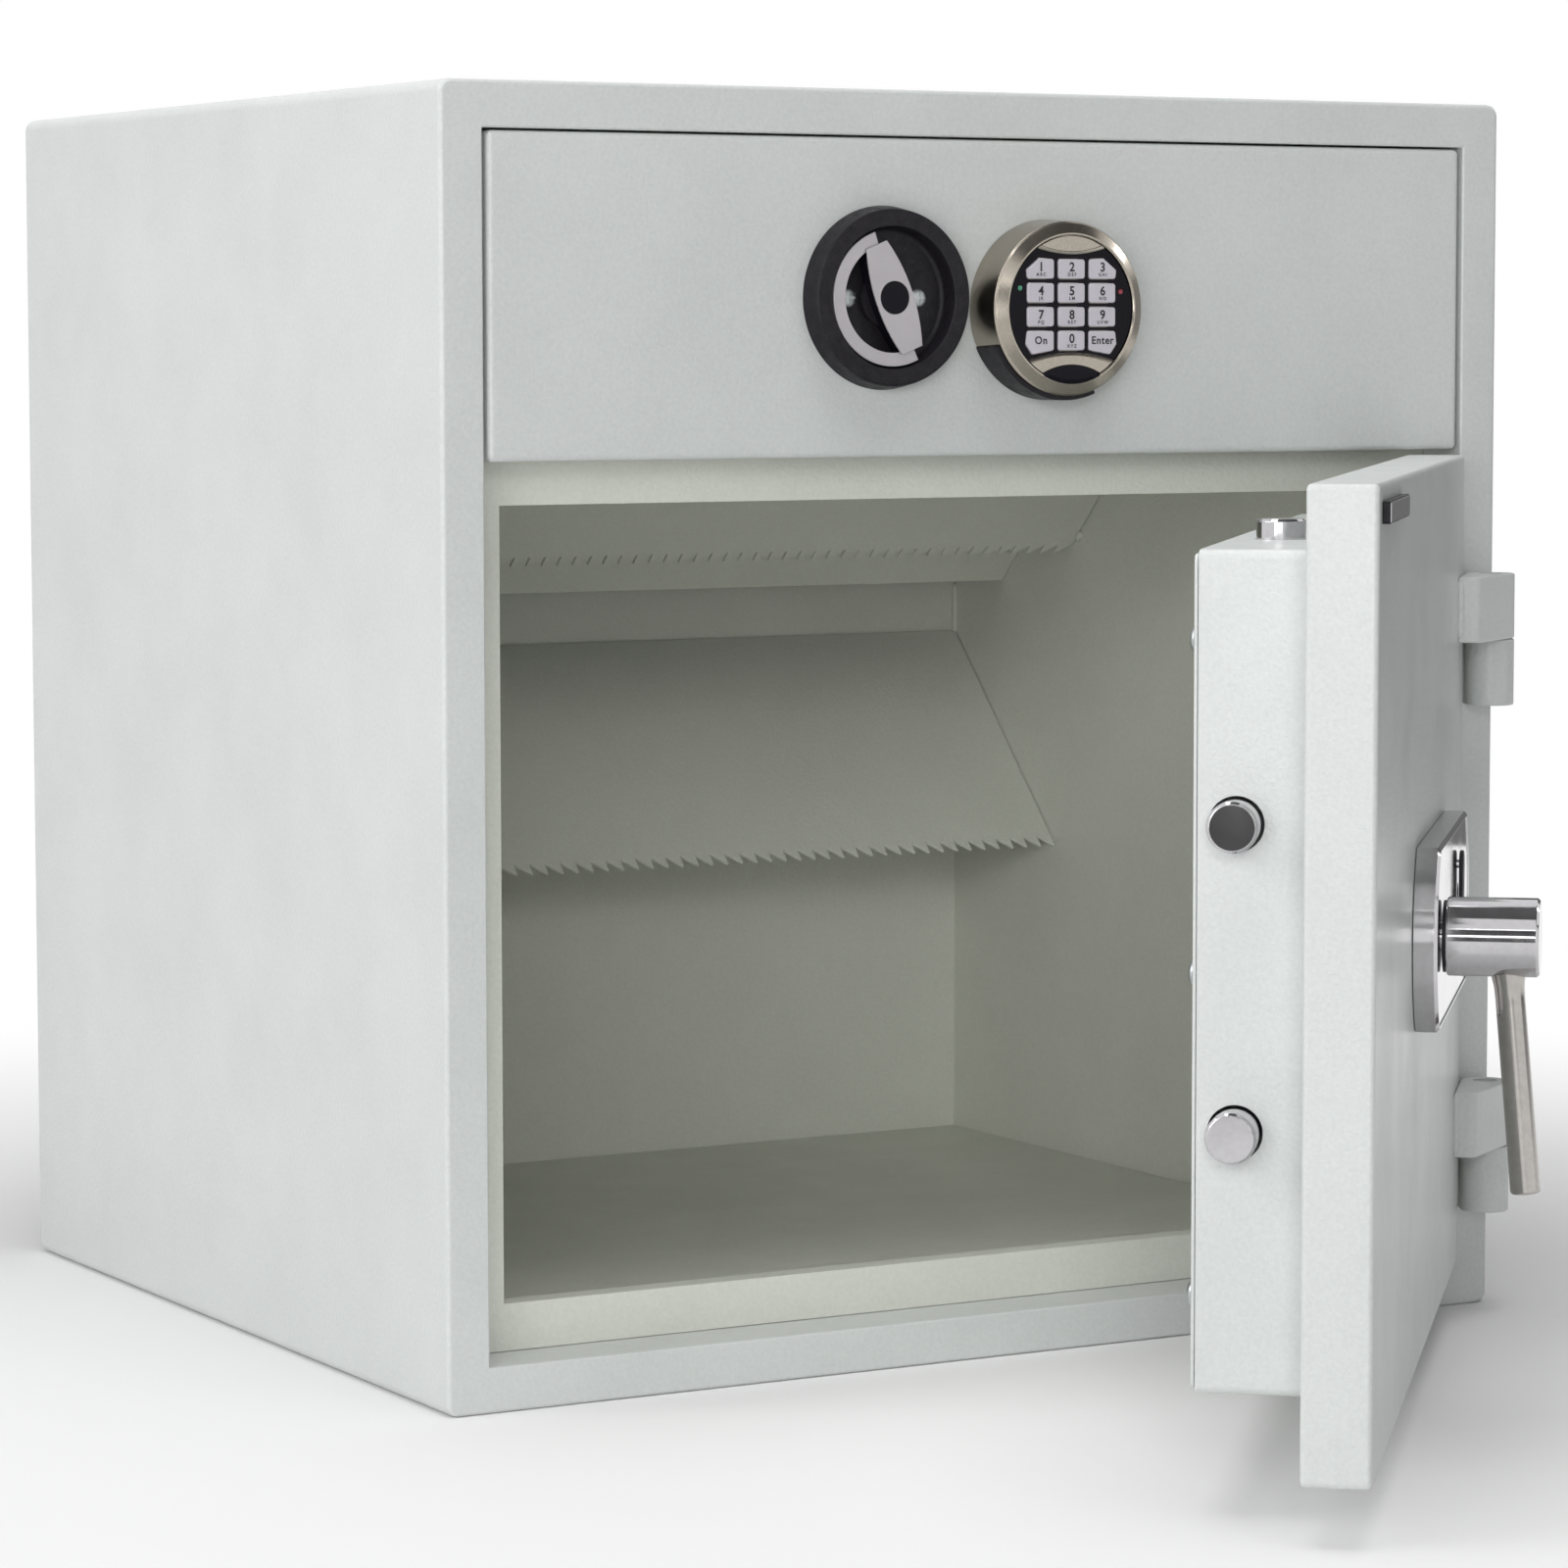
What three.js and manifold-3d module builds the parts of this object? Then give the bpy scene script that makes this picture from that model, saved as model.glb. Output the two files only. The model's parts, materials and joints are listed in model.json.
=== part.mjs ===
// A drop safe with a deposit drawer: a steel body whose lower door stands open on its hinge, and a
// locked drawer above it whose floor tips the deposit into the compartment when it is pushed home.
// X runs to the right, Y from the front face back, Z up, all in millimetres. Every piece is drawn
// from the body's front face and underside, and the whole is then centred on the underside.
import * as THREE from "three";
import { mergeVertices } from "three/addons/utils/BufferGeometryUtils.js";
import Module from "manifold-3d";

const wasm = await Module();
wasm.setup();

// Clearances
const seat = 0.3; // left open between two pieces that touch
const overrun = 1; // how far a cutting shape runs past what it cuts
const weldDistance = 0.0001; // corners closer than this are one corner

// Sides of round pieces
const coarseSides = 16;
const mediumSides = 32;
const fineSides = 64;

// Body
const body = { width: 600, depth: 520, height: 620, wall: 22, back: 20, edge: 3 };
const compartmentFloor = { thick: 7.4 };
const innerFrame = { recess: 32, thick: 3, margin: 23, topMargin: 12, flange: 12 };
const crossMember = { lap: 18.4, height: 23.5 };
const chuteShelf = { thick: 2, below: 3, behindTray: 38.7, drop: 84 };
const saw = { thick: 2, pitch: 9.35, depth: 8 };
const frontSaw = { beforeBend: 50, run: 64.4 };
const rearSaw = { belowShelf: 116, run: 112.3, fall: 119.5 };

// Door
const door = { sideGap: 2, hingeGap: 1.5, bottomGap: 4.2, thick: 30, edge: 2, openDegrees: 49.7 };
const hinge = { radius: 12.5, inset: 12, pin: 6, running: 0.3, knuckle: 34, web: 16 };
const hingeLeaf = { reach: 50, slopeDegrees: 16.7, round: 5, height: 33.2, fromBottom: 59.8, fromTop: 60.7 };
const boltBox = { side: 45, end: 28.8, wall: 2.5, depth: 48.6, flange: 14 };
const boxCover = { thick: 1.3, inset: 2 };
const coverScrew = { inset: 7, head: 5, rise: 2.2, shank: 2, length: 6.4, play: 0.3 };
const screwEnds = { fromBottom: 42.5, fromTop: 38.1 };

// Handle
const handle = { x: -32, lowered: 4.05, radius: 18, front: 55.2, foot: 15, neck: 14, chamfer: 3, spindle: 7 };
const lever = { radius: 7, tipRadius: 7.35, reach: 117, leanDegrees: 5, back: 39.5, socket: 5, round: 3 };
const cam = { radius: 21, thick: 4, gap: 2.5, pin: 3, pinReach: 6, play: 0.6 };
const escutcheon = { left: -50, right: 139, height: 84, bulge: 20.5, thick: 11, chamfer: 1.2 };
const keyhole = { x: 80, rise: 8, radius: 5 };
const keyholeCover = { width: 13, drop: 20, thick: 2, pivotRise: 14, pin: 2 };
const keyLock = { width: 60, height: 50, depth: 30, below: 23 };

// Bolt work: depths are measured from the front of the bolt box
const bolt = { radius: 11, chamfer: 2, depth: 32, proud: 18, throw: 20, running: 0.3 };
const boltPlaces = { belowHandle: 62.7, aboveHandle: 68 };
const boltBar = { width: 20, setback: 26, beyond: 15, armHeight: 30, armThick: 4, gap: 1.5, pastSlot: 8 };
const topBolt = { fromSide: 121, depth: 25.6, proud: 9, length: 122, throw: 18, foot: 12 };
const topBoltFork = { front: 3.2, thick: 4.5, prong: 5.4, strap: 22, reach: 0.7 };

// Drawer
const drawer = { height: 152.5, sideGap: 2.5, doorGap: 2.6, topGap: 1, thick: 30, edge: 2, stay: 12 };
const tray = { sideGap: 14, sheet: 2, rise: 14.5, belowTop: 17, length: 292, ledge: 44.7, ledgeRise: 7 };
const tipFloor = { sideGap: 3, thick: 2, lap: 7, upDegrees: 26, tube: 7, running: 0.3 };
const tipShaft = { inset: 12.3, rise: 11, radius: 5, armThick: 5.5, armLength: 30, eye: 7.5 };
const tipRoller = { radius: 4.5, width: 4.5, standOff: 1, clear: 0.5 };
const tipRail = { height: 5, depth: 5 };
const rearGate = { inset: 6.3, belowTop: 8, thick: 2, clear: 21, pin: 3, side: 3.5, curl: 4.5 };
const runner = { rise: 61.5, height: 45, sheet: 1.5, clear: 2.5, ball: 0.6, setback: 5, length: 330 };
const middleRunner = { clear: 3.5 };
const innerRunner = { gap: 1.9, setback: 5.7, length: 324 };
const runnerSpacer = { below: 70.5, above: 24.5 };

// Drawer lock and knob
const knob = { x: -65.6, rise: 76.2 };
const dish = { baseRadius: 44, rimRadius: 42.4, well: 34, deep: 10.3, thick: 11.2, edge: 1.2 };
const grip = { length: 53.8, endWidth: 11.8, midWidth: 18.8, face: 11.9, tiltDegrees: 21.5, lift: 2.4 };
const gripShaft = { spindle: 6, boss: 14 };
const halfRing = { outer: 32.8, inner: 26.2, face: 10.2, web: 1.6 };
const lockCase = { half: 45, below: 46.7, above: 45.3, depth: 30, wall: 2.4 };
const latch = { half: 10, below: 2, length: 52, thick: 12, behindFrame: 0.5 };

// Keypad
const keypad = { x: 26.5, rise: 71.1, baseRadius: 43.4, rimRadius: 42.2, barrel: 20.5, depth: 24.5 };
const keypadRim = { chamfer: 2, faceRadius: 35.3, well: 4 };
const keypadFace = { sunk: 1.2 };
const key = { width: 15, height: 9.4, pitchX: 17.6, pitchZ: 11.5, rise: 1.8, travel: 1, play: 0.3, raise: 1 };
const keyNames = [
  ["key_1", "key_2", "key_3"],
  ["key_4", "key_5", "key_6"],
  ["key_7", "key_8", "key_9"],
  ["key_on", "key_0", "key_enter"],
];

// Finishes: colour, roughness, metalness
const paint = [0xbec4c4, 0.5, 0.1];
const innerPaint = [0x8e9692, 0.6, 0.1];
const chrome = [0xd4d6d8, 0.12, 1];
const nickel = [0xb5ad9f, 0.35, 0.9];
const zinc = [0xa8adb0, 0.4, 0.9];
const blackPlastic = [0x1d1c20, 0.5, 0];
const keyPlastic = [0xc9c6cc, 0.5, 0];
const silver = [0xb3b1b6, 0.4, 0.6];

// Shares
const slopeShare = Math.SQRT1_2; // across and along a sheet that slopes at 45 degrees
const domeShare = 0.75; // where a screw's domed head turns in, of its radius and its rise

// Faces of the body and its front frame
const half = body.width / 2;
const innerHalf = half - body.wall;
const innerTop = body.height - body.wall;
const backFace = body.depth - body.back;
const frameFront = innerFrame.recess;
const frameBack = frameFront + innerFrame.thick;
const sheetHalf = innerHalf - 2 * seat; // sheets that lie between the side walls
const openingHalf = innerHalf - innerFrame.margin;
const openingTop = innerTop - innerFrame.topMargin;
const sill = body.wall + innerFrame.margin;

// Faces of the drawer, which hangs from the body's top, and of the door, which fills what is left
const drawerTop = innerTop - drawer.topGap;
const drawerBottom = drawerTop - drawer.height;
const doorLeft = door.sideGap - innerHalf;
const doorRight = innerHalf - door.hingeGap;
const doorBottom = body.wall + door.bottomGap;
const doorTop = drawerBottom - drawer.doorGap;
const doorMiddle = (doorBottom + doorTop) / 2;
const crossBottom = doorTop - crossMember.lap;
const crossTop = crossBottom + crossMember.height;

// Places on the door
const hingeX = half - hinge.inset;
const hingeY = -hinge.radius - seat;
const leafBottoms = [doorBottom + hingeLeaf.fromBottom, doorTop - hingeLeaf.fromTop - hingeLeaf.height];
const boxLeft = doorLeft + boltBox.side;
const boxRight = doorRight - boltBox.side;
const boxBottom = doorBottom + boltBox.end;
const boxTop = doorTop - boltBox.end;
const boxFront = door.thick + seat;
const boxBack = boxFront + boltBox.depth;
const screwHeights = [boxBottom + screwEnds.fromBottom, doorMiddle, boxTop - screwEnds.fromTop];
const handleAt = { x: handle.x, z: doorMiddle - handle.lowered };
const keyholeAt = { x: keyhole.x, z: handleAt.z + keyhole.rise };
const leanAngle = THREE.MathUtils.degToRad(lever.leanDegrees);
const boltHeights = [handleAt.z - boltPlaces.belowHandle, handleAt.z + boltPlaces.aboveHandle];
const boltY = boxFront + bolt.depth;
const topBoltAt = { x: boxLeft + topBolt.fromSide, y: boxFront + topBolt.depth };
const forkFront = boxFront + topBoltFork.front;
const forkBack = forkFront + topBoltFork.thick;
const camFront = forkBack + cam.gap;
const camBack = camFront + cam.thick;
const armFront = camBack + boltBar.gap;
const armBack = armFront + boltBar.armThick;

// Places in the drawer
const trayHalf = openingHalf - tray.sideGap;
const trayBottom = drawerBottom + tray.rise;
const trayTop = drawerTop - tray.belowTop;
const trayFront = drawer.thick + seat;
const trayBack = trayFront + tray.length;
const tipAt = { y: trayBack - tipShaft.inset, z: trayBottom + tipShaft.rise };
const gateAt = { y: trayBack - rearGate.inset, z: trayTop - rearGate.belowTop };
const runnerZ = trayBottom + runner.rise;
const knobAt = { x: knob.x, z: drawerBottom + knob.rise };
const keypadAt = { x: keypad.x, z: drawerBottom + keypad.rise };
const lockCaseFront = trayFront + tray.sheet + seat;
const drawerTravel = tray.length - drawer.stay;
const shelfBottom = crossTop - chuteShelf.below;
const shelfBend = trayBack + chuteShelf.behindTray;

// Closed geometries as solids that can be joined and cut, and back
function toSolid(geometry) {
  const bare = geometry.clone();
  bare.deleteAttribute("normal");
  bare.deleteAttribute("uv");
  const merged = mergeVertices(bare, weldDistance);
  const corners = merged.index.array;
  const triVerts = [];
  for (let i = 0; i < corners.length; i += 3) {
    const [a, b, c] = corners.slice(i, i + 3);
    if (a !== b && b !== c && c !== a) triVerts.push(a, b, c);
  }
  const vertProperties = merged.getAttribute("position").array;
  const mesh = new wasm.Mesh({ numProp: 3, vertProperties, triVerts: new Uint32Array(triVerts) });
  return new wasm.Manifold(mesh);
}

function toGeometry(solid) {
  const mesh = solid.getMesh();
  const geometry = new THREE.BufferGeometry();
  geometry.setAttribute("position", new THREE.BufferAttribute(mesh.vertProperties, mesh.numProp));
  geometry.setIndex(new THREE.BufferAttribute(mesh.triVerts, 1));
  return geometry;
}

function join(...shapes) {
  return toGeometry(shapes.map(toSolid).reduce((whole, next) => whole.add(next)));
}

function cut(shape, ...tools) {
  return toGeometry(tools.map(toSolid).reduce((left, tool) => left.subtract(tool), toSolid(shape)));
}

// A range on one side of the middle, for pieces that come in a left and a right hand
function sided(side, a, b) {
  return [Math.min(side * a, side * b), Math.max(side * a, side * b)];
}

// A range that starts somewhat before another and ends somewhat after it
function widened([from, to], extra) {
  return [from - extra, to + extra];
}

// A block between two places on each axis
function block([x0, x1], [y0, y1], [z0, z1]) {
  const geometry = new THREE.BoxGeometry(x1 - x0, y1 - y0, z1 - z0);
  return geometry.translate((x0 + x1) / 2, (y0 + y1) / 2, (z0 + z1) / 2);
}

// Turns a shape drawn along its own Y axis (a turned piece) or Z axis (an outline) to lie along an axis
const turnTo = {
  x: (geometry) => geometry.rotateZ(-Math.PI / 2),
  y: (geometry) => geometry,
  z: (geometry) => geometry.rotateX(Math.PI / 2),
};

// A turned piece: its profile holds pairs of a radius and a place along the axis, in rising places
function turned(axis, profile, centre, sides = mediumSides) {
  const points = profile.map(([radius, place]) => new THREE.Vector2(radius, place));
  const geometry = turnTo[axis](new THREE.LatheGeometry(points, sides));
  const { x = 0, y = 0, z = 0 } = centre;
  return geometry.translate(x, y, z);
}

function rod(axis, radius, [from, to], centre, sides = mediumSides) {
  const profile = [
    [0, from],
    [radius, from],
    [radius, to],
    [0, to],
  ];
  return turned(axis, profile, centre, sides);
}

// An outline in the two other axes, drawn out along X, Y or Z
function drawnOut(axis, outline, [from, to], options = {}) {
  const points = () => outline.map(([a, b]) => new THREE.Vector2(a, b));
  const shape = outline instanceof THREE.Shape ? outline : new THREE.Shape(points());
  const settings = { depth: to - from, bevelEnabled: false, steps: 1, ...options };
  const geometry = new THREE.ExtrudeGeometry(shape, settings);
  const unitX = new THREE.Vector3(1, 0, 0);
  const unitY = new THREE.Vector3(0, 1, 0);
  const unitZ = new THREE.Vector3(0, 0, 1);
  const basis = new THREE.Matrix4();
  if (axis === "z") return geometry.translate(0, 0, from);
  if (axis === "x") return geometry.applyMatrix4(basis.makeBasis(unitY, unitZ, unitX)).translate(from, 0, 0);
  return geometry.applyMatrix4(basis.makeBasis(unitX, unitZ, unitY.negate())).translate(0, to, 0);
}

// A rectangle with rounded corners, as a shape in its own two axes
function roundedRectangle([a0, a1], [b0, b1], radius) {
  const shape = new THREE.Shape();
  shape.moveTo(a0 + radius, b0);
  shape.absarc(a1 - radius, b0 + radius, radius, -Math.PI / 2, 0, false);
  shape.absarc(a1 - radius, b1 - radius, radius, 0, Math.PI / 2, false);
  shape.absarc(a0 + radius, b1 - radius, radius, Math.PI / 2, Math.PI, false);
  shape.absarc(a0 + radius, b0 + radius, radius, Math.PI, Math.PI * 1.5, false);
  return shape;
}

// A slab whose front and back edges are rounded off
function softSlab(axis, rangeA, rangeB, [from, to], edge, segments = 2) {
  const inner = roundedRectangle(widened(rangeA, -edge), widened(rangeB, -edge), edge / 2);
  const bevel = { bevelEnabled: true, bevelThickness: edge, bevelSize: edge, bevelSegments: segments };
  return drawnOut(axis, inner, [from + edge, to - edge], { ...bevel, curveSegments: segments });
}

const works = new THREE.Group(); // everything, drawn from the front face
works.position.y = -body.depth / 2;
const safe = new THREE.Group();
safe.add(works);

function place(name, geometry, finish, group = works) {
  const [color, roughness, metalness] = finish;
  const faceted = geometry.index ? geometry.toNonIndexed() : geometry;
  faceted.computeVertexNormals();
  const mesh = new THREE.Mesh(faceted, new THREE.MeshStandardMaterial({ color, roughness, metalness }));
  mesh.name = name;
  group.add(mesh);
  return mesh;
}

// A group that turns about a line through a point, while its pieces stay drawn where they are at zero
function turningGroup(parent, pivot, axis, degrees) {
  const outer = new THREE.Group();
  outer.position.copy(pivot);
  outer.quaternion.setFromAxisAngle(axis, THREE.MathUtils.degToRad(degrees));
  const inner = new THREE.Group();
  inner.position.copy(pivot).negate();
  outer.add(inner);
  parent.add(outer);
  return inner;
}

// Casing
function casing() {
  const shell = softSlab("y", [-half, half], [0, body.height], [0, body.depth], body.edge);
  const hollow = block([-innerHalf, innerHalf], [-overrun, backFace], [body.wall, innerTop]);
  place("casing_shell", cut(shell, hollow), paint);

  const sides = innerHalf - seat;
  const floorBottom = body.wall + seat;
  const floorZ = [floorBottom, floorBottom + compartmentFloor.thick];
  const floorY = [frameBack + seat, backFace - seat];
  place("compartment_floor", block([-sides, sides], floorY, floorZ), innerPaint);
}

// The front sheet, with the openings for the door and the drawer and a folded rim round the door's opening
function frame() {
  const sides = innerHalf - seat;
  const sheet = block([-sides, sides], [frameFront, frameBack], [body.wall + seat, innerTop - seat]);
  const rimY = [frameFront, frameFront + innerFrame.flange];
  const openingX = [-openingHalf, openingHalf];
  const doorZ = [sill, crossBottom];
  const rim = block(widened(openingX, innerFrame.thick), rimY, widened(doorZ, innerFrame.thick));
  const throughY = widened(rimY, overrun);
  const doorOpening = block(openingX, throughY, doorZ);
  const drawerOpening = block(openingX, throughY, [crossTop, openingTop]);
  place("inner_frame", cut(join(sheet, rim), doorOpening, drawerOpening), innerPaint);
}

// The sheet under the drawer, bent down into the chute
function shelf() {
  const { thick, drop } = chuteShelf;
  const front = frameBack + seat;
  const across = thick * slopeShare;
  const bent = [
    [front, shelfBottom],
    [shelfBend, shelfBottom],
    [shelfBend + drop, shelfBottom - drop],
    [shelfBend + drop + across, shelfBottom - drop + across],
    [shelfBend + across * slopeShare, shelfBottom + thick],
    [front, shelfBottom + thick],
  ];
  place("chute_shelf", drawnOut("x", bent, [-sheetHalf, sheetHalf]), innerPaint);
}

// A toothed edge along a sheet's width: right-angled teeth, leaning one way
function toothedOutline(length, leansRight) {
  const count = Math.round((2 * sheetHalf) / saw.pitch);
  const step = (2 * sheetHalf) / count;
  const root = length - saw.depth;
  const [atLeft, atRight] = leansRight ? [length, root] : [root, length];
  const outline = [
    [sheetHalf, 0],
    [-sheetHalf, 0],
  ];
  for (let i = 0; i < count; i += 1) {
    const left = i * step - sheetHalf;
    outline.push([left, atLeft], [left + step, atRight]);
  }
  return outline;
}

function sawPlate(name, length, leansRight, slope, start) {
  const flat = drawnOut("z", toothedOutline(length, leansRight), [0, saw.thick]);
  flat.rotateX(slope);
  place(name, flat.translate(0, start.y, start.z), innerPaint);
}

function sawPlates() {
  const across = saw.thick * slopeShare;
  const frontLength = frontSaw.run / slopeShare;
  const frontStart = { y: shelfBend - frontSaw.beforeBend - across, z: shelfBottom - seat - across };
  sawPlate("front_saw_plate", frontLength, true, -Math.PI / 4, frontStart);
  const rearLength = Math.hypot(rearSaw.run, rearSaw.fall);
  const rearSlope = Math.atan2(rearSaw.fall, rearSaw.run);
  const rearY = backFace - seat - saw.thick * Math.sin(rearSlope);
  const rearStart = { y: rearY, z: shelfBottom - rearSaw.belowShelf };
  sawPlate("rear_saw_plate", rearLength, false, Math.PI + rearSlope, rearStart);
}

// A leaf's arm: its outer face slopes from the round part down to a rounded free end
function leafArm(leafZ) {
  const { round, reach, slopeDegrees } = hingeLeaf;
  const slope = THREE.MathUtils.degToRad(slopeDegrees);
  const end = hingeX - reach;
  const touch = { x: hingeX - hinge.radius * Math.sin(slope), y: hingeY - hinge.radius * Math.cos(slope) };
  const fall = (round + Math.sin(slope) * (touch.x - end - round)) / Math.cos(slope);
  const back = hingeY + hinge.radius;
  const outline = new THREE.Shape();
  outline.moveTo(end, back);
  outline.lineTo(end, touch.y + fall);
  outline.absarc(end + round, touch.y + fall, round, Math.PI, Math.PI * 1.5 - slope, false);
  outline.lineTo(touch.x, touch.y);
  outline.lineTo(hingeX, hingeY);
  outline.lineTo(hingeX, back);
  return drawnOut("z", outline, leafZ, { curveSegments: 6 });
}

// Hinges: a round knuckle on the casing's front below a tapered block on the door, on one pin
function hinges(doorGroup) {
  const centre = { x: hingeX, y: hingeY };
  const bore = (range) => rod("z", hinge.pin + hinge.running, widened(range, overrun), centre, coarseSides);
  leafBottoms.forEach((bottom, i) => {
    const side = ["lower", "upper"][i];
    const leafZ = [bottom, bottom + hingeLeaf.height];
    const knuckleZ = [bottom - seat - hinge.knuckle, bottom - seat];
    const web = block([hingeX - hinge.web / 2, hingeX + hinge.web / 2], [hingeY, -seat], knuckleZ);
    const knuckle = join(rod("z", hinge.radius, knuckleZ, centre), web);
    place(side + "_hinge_knuckle", cut(knuckle, bore(knuckleZ)), paint);
    const leaf = join(rod("z", hinge.radius, leafZ, centre), leafArm(leafZ));
    place(side + "_hinge_leaf", cut(leaf, bore(leafZ)), paint, doorGroup);
    const pin = rod("z", hinge.pin, [knuckleZ[0], leafZ[1] - seat], centre, coarseSides);
    place(side + "_hinge_pin", pin, zinc);
  });
}

// Door
function doorPlate(group) {
  const slab = softSlab("y", [doorLeft, doorRight], [doorBottom, doorTop], [0, door.thick], door.edge);
  const through = [-overrun, door.thick + overrun];
  const spindleHole = rod("y", handle.spindle + seat, through, handleAt, coarseSides);
  const keyHole = rod("y", keyhole.radius, through, keyholeAt, coarseSides);
  place("door_plate", cut(slab, spindleHole, keyHole), paint, group);
}

function doorBox(group) {
  const { wall, flange } = boltBox;
  const boxX = [boxLeft, boxRight];
  const boxZ = [boxBottom, boxTop];
  const shell = block(boxX, [boxFront, boxBack], boxZ);
  const inside = block(widened(boxX, -wall), [boxFront - overrun, boxBack - wall], widened(boxZ, -wall));
  const throughY = [boxFront - overrun, boxBack + overrun];
  const window = block(widened(boxX, -flange), throughY, widened(boxZ, -flange));
  const boltHole = bolt.radius + bolt.running;
  const sideWall = widened([boxLeft, boxLeft + wall], overrun);
  const boltHoles = boltHeights.map((z) => rod("x", boltHole, sideWall, { y: boltY, z }));
  const topHole = rod("z", boltHole, widened([boxTop - wall, boxTop], overrun), topBoltAt);

  const screwX = boxLeft + coverScrew.inset;
  const screwHoles = (range) => {
    const hole = coverScrew.shank + coverScrew.play;
    const through = widened(range, overrun);
    return screwHeights.map((z) => rod("y", hole, through, { x: screwX, z }, coarseSides));
  };
  const boxScrewHoles = screwHoles([boxBack - wall, boxBack]);
  place("bolt_box", cut(shell, inside, window, topHole, ...boltHoles, ...boxScrewHoles), paint, group);

  const coverFront = boxBack + seat;
  const coverY = [coverFront, coverFront + boxCover.thick];
  const plate = block(boxX, coverY, widened(boxZ, -boxCover.inset));
  place("bolt_box_cover", cut(plate, ...screwHoles(coverY)), paint, group);

  const headBase = coverY[1] + seat;
  const { head, rise, shank, length } = coverScrew;
  const profile = [
    [0, headBase - length],
    [shank, headBase - length],
    [shank, headBase],
    [head, headBase],
    [head * domeShare, headBase + rise * domeShare],
    [0, headBase + rise],
  ];
  screwHeights.forEach((z, i) => {
    place("cover_screw_" + (i + 1), turned("y", profile, { x: screwX, z }, coarseSides), zinc, group);
  });
}

// Handle plate with curved ends, and the flap over the keyhole
function handlePlate(group) {
  const { left, right, height, bulge, thick, chamfer } = escutcheon;
  const reach = height / 2;
  const arcRadius = (reach * reach + bulge * bulge) / (2 * bulge);
  const arcHalf = Math.asin(reach / arcRadius);
  const arcOffset = arcRadius - bulge;
  const shape = new THREE.Shape();
  shape.moveTo(left, handleAt.z - reach);
  shape.absarc(right - arcOffset, handleAt.z, arcRadius, -arcHalf, arcHalf, false);
  shape.absarc(left + arcOffset, handleAt.z, arcRadius, Math.PI - arcHalf, Math.PI + arcHalf, false);
  const bevel = { bevelEnabled: true, bevelThickness: chamfer, bevelSize: chamfer, bevelOffset: -chamfer };
  const options = { ...bevel, bevelSegments: 1, curveSegments: 10 };
  const full = drawnOut("y", shape, [chamfer - thick - seat, thick], options);
  const behindX = widened([left - bulge, right + bulge], overrun);
  const behindZ = widened([handleAt.z - reach, handleAt.z + reach], overrun);
  const behind = block(behindX, [-seat, thick + chamfer + overrun], behindZ);
  const through = [-thick - seat - overrun, overrun];
  const spindleHole = rod("y", handle.spindle + seat, through, handleAt, coarseSides);
  const keyHole = rod("y", keyhole.radius, through, keyholeAt, coarseSides);
  const pivot = { x: keyholeAt.x, z: keyholeAt.z + keyholeCover.pivotRise };
  const pinHole = rod("y", keyholeCover.pin + seat, through, pivot, coarseSides);
  place("handle_escutcheon", cut(full, behind, spindleHole, keyHole, pinHole), chrome, group);

  const flapBack = -thick - 2 * seat;
  const flapFront = flapBack - keyholeCover.thick;
  const round = keyholeCover.width / 2;
  const flap = new THREE.Shape();
  flap.absarc(pivot.x, pivot.z, round, 0, Math.PI, false);
  flap.absarc(pivot.x, pivot.z - keyholeCover.drop, round, Math.PI, 2 * Math.PI, false);
  const flapPlate = drawnOut("y", flap, [flapFront, flapBack], { curveSegments: 8 });
  const pin = rod("y", keyholeCover.pin, [flapFront, -seat], pivot, coarseSides);
  place("keyhole_cover", join(flapPlate, pin), blackPlastic, group);

  const caseX = [keyholeAt.x - keyLock.width / 2, keyholeAt.x + keyLock.width / 2];
  const caseZ = [keyholeAt.z - keyLock.below, keyholeAt.z - keyLock.below + keyLock.height];
  const lock = block(caseX, [boxFront, boxFront + keyLock.depth], caseZ);
  const keyWayY = [door.thick, door.thick + keyLock.depth - overrun];
  const keyWay = rod("y", keyhole.radius, keyWayY, keyholeAt, coarseSides);
  place("key_lock_case", cut(lock, keyWay), zinc, group);
}

// A rod that leans out from the hub, drawn down its own axis from the hub's centre line
function leaningRod(clearance, top) {
  const { radius, tipRadius, reach, round } = lever;
  const length = reach / Math.cos(leanAngle);
  const profile = [
    [0, -length - clearance],
    [tipRadius - round + clearance, -length - clearance],
    [tipRadius + clearance, round - length - clearance],
    [radius + clearance, top + clearance],
    [0, top + clearance],
  ];
  const geometry = turned("z", profile, {});
  return geometry.rotateX(-leanAngle).translate(handleAt.x, -lever.back, handleAt.z);
}

function handleWorks(group) {
  const { radius, front, foot, neck, chamfer, spindle } = handle;
  const neckBack = -escutcheon.thick - 2 * seat;
  const profile = [
    [0, -front],
    [radius - chamfer, -front],
    [radius, chamfer - front],
    [radius, -foot],
    [neck, -foot],
    [neck, neckBack],
    [spindle, neckBack],
    [spindle, camBack],
    [0, camBack],
  ];
  const socketTop = lever.socket - radius;
  const hub = cut(turned("y", profile, handleAt, fineSides), leaningRod(seat, socketTop));
  place("handle_hub", hub, chrome, group);
  place("handle_lever", leaningRod(0, socketTop), chrome, group);

  const pins = camPins();
  const disc = rod("y", cam.radius, [camFront, camBack], handleAt);
  const bore = rod("y", spindle + seat, widened([camFront, camBack], overrun), handleAt, coarseSides);
  const sidePin = rod("y", cam.pin, [camFront, camBack + cam.pinReach], pins.side, coarseSides);
  const topPin = rod("y", cam.pin, [camFront - cam.pinReach, camBack], pins.top, coarseSides);
  place("handle_cam", cut(join(disc, sidePin, topPin), bore), zinc, group);
}

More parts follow.
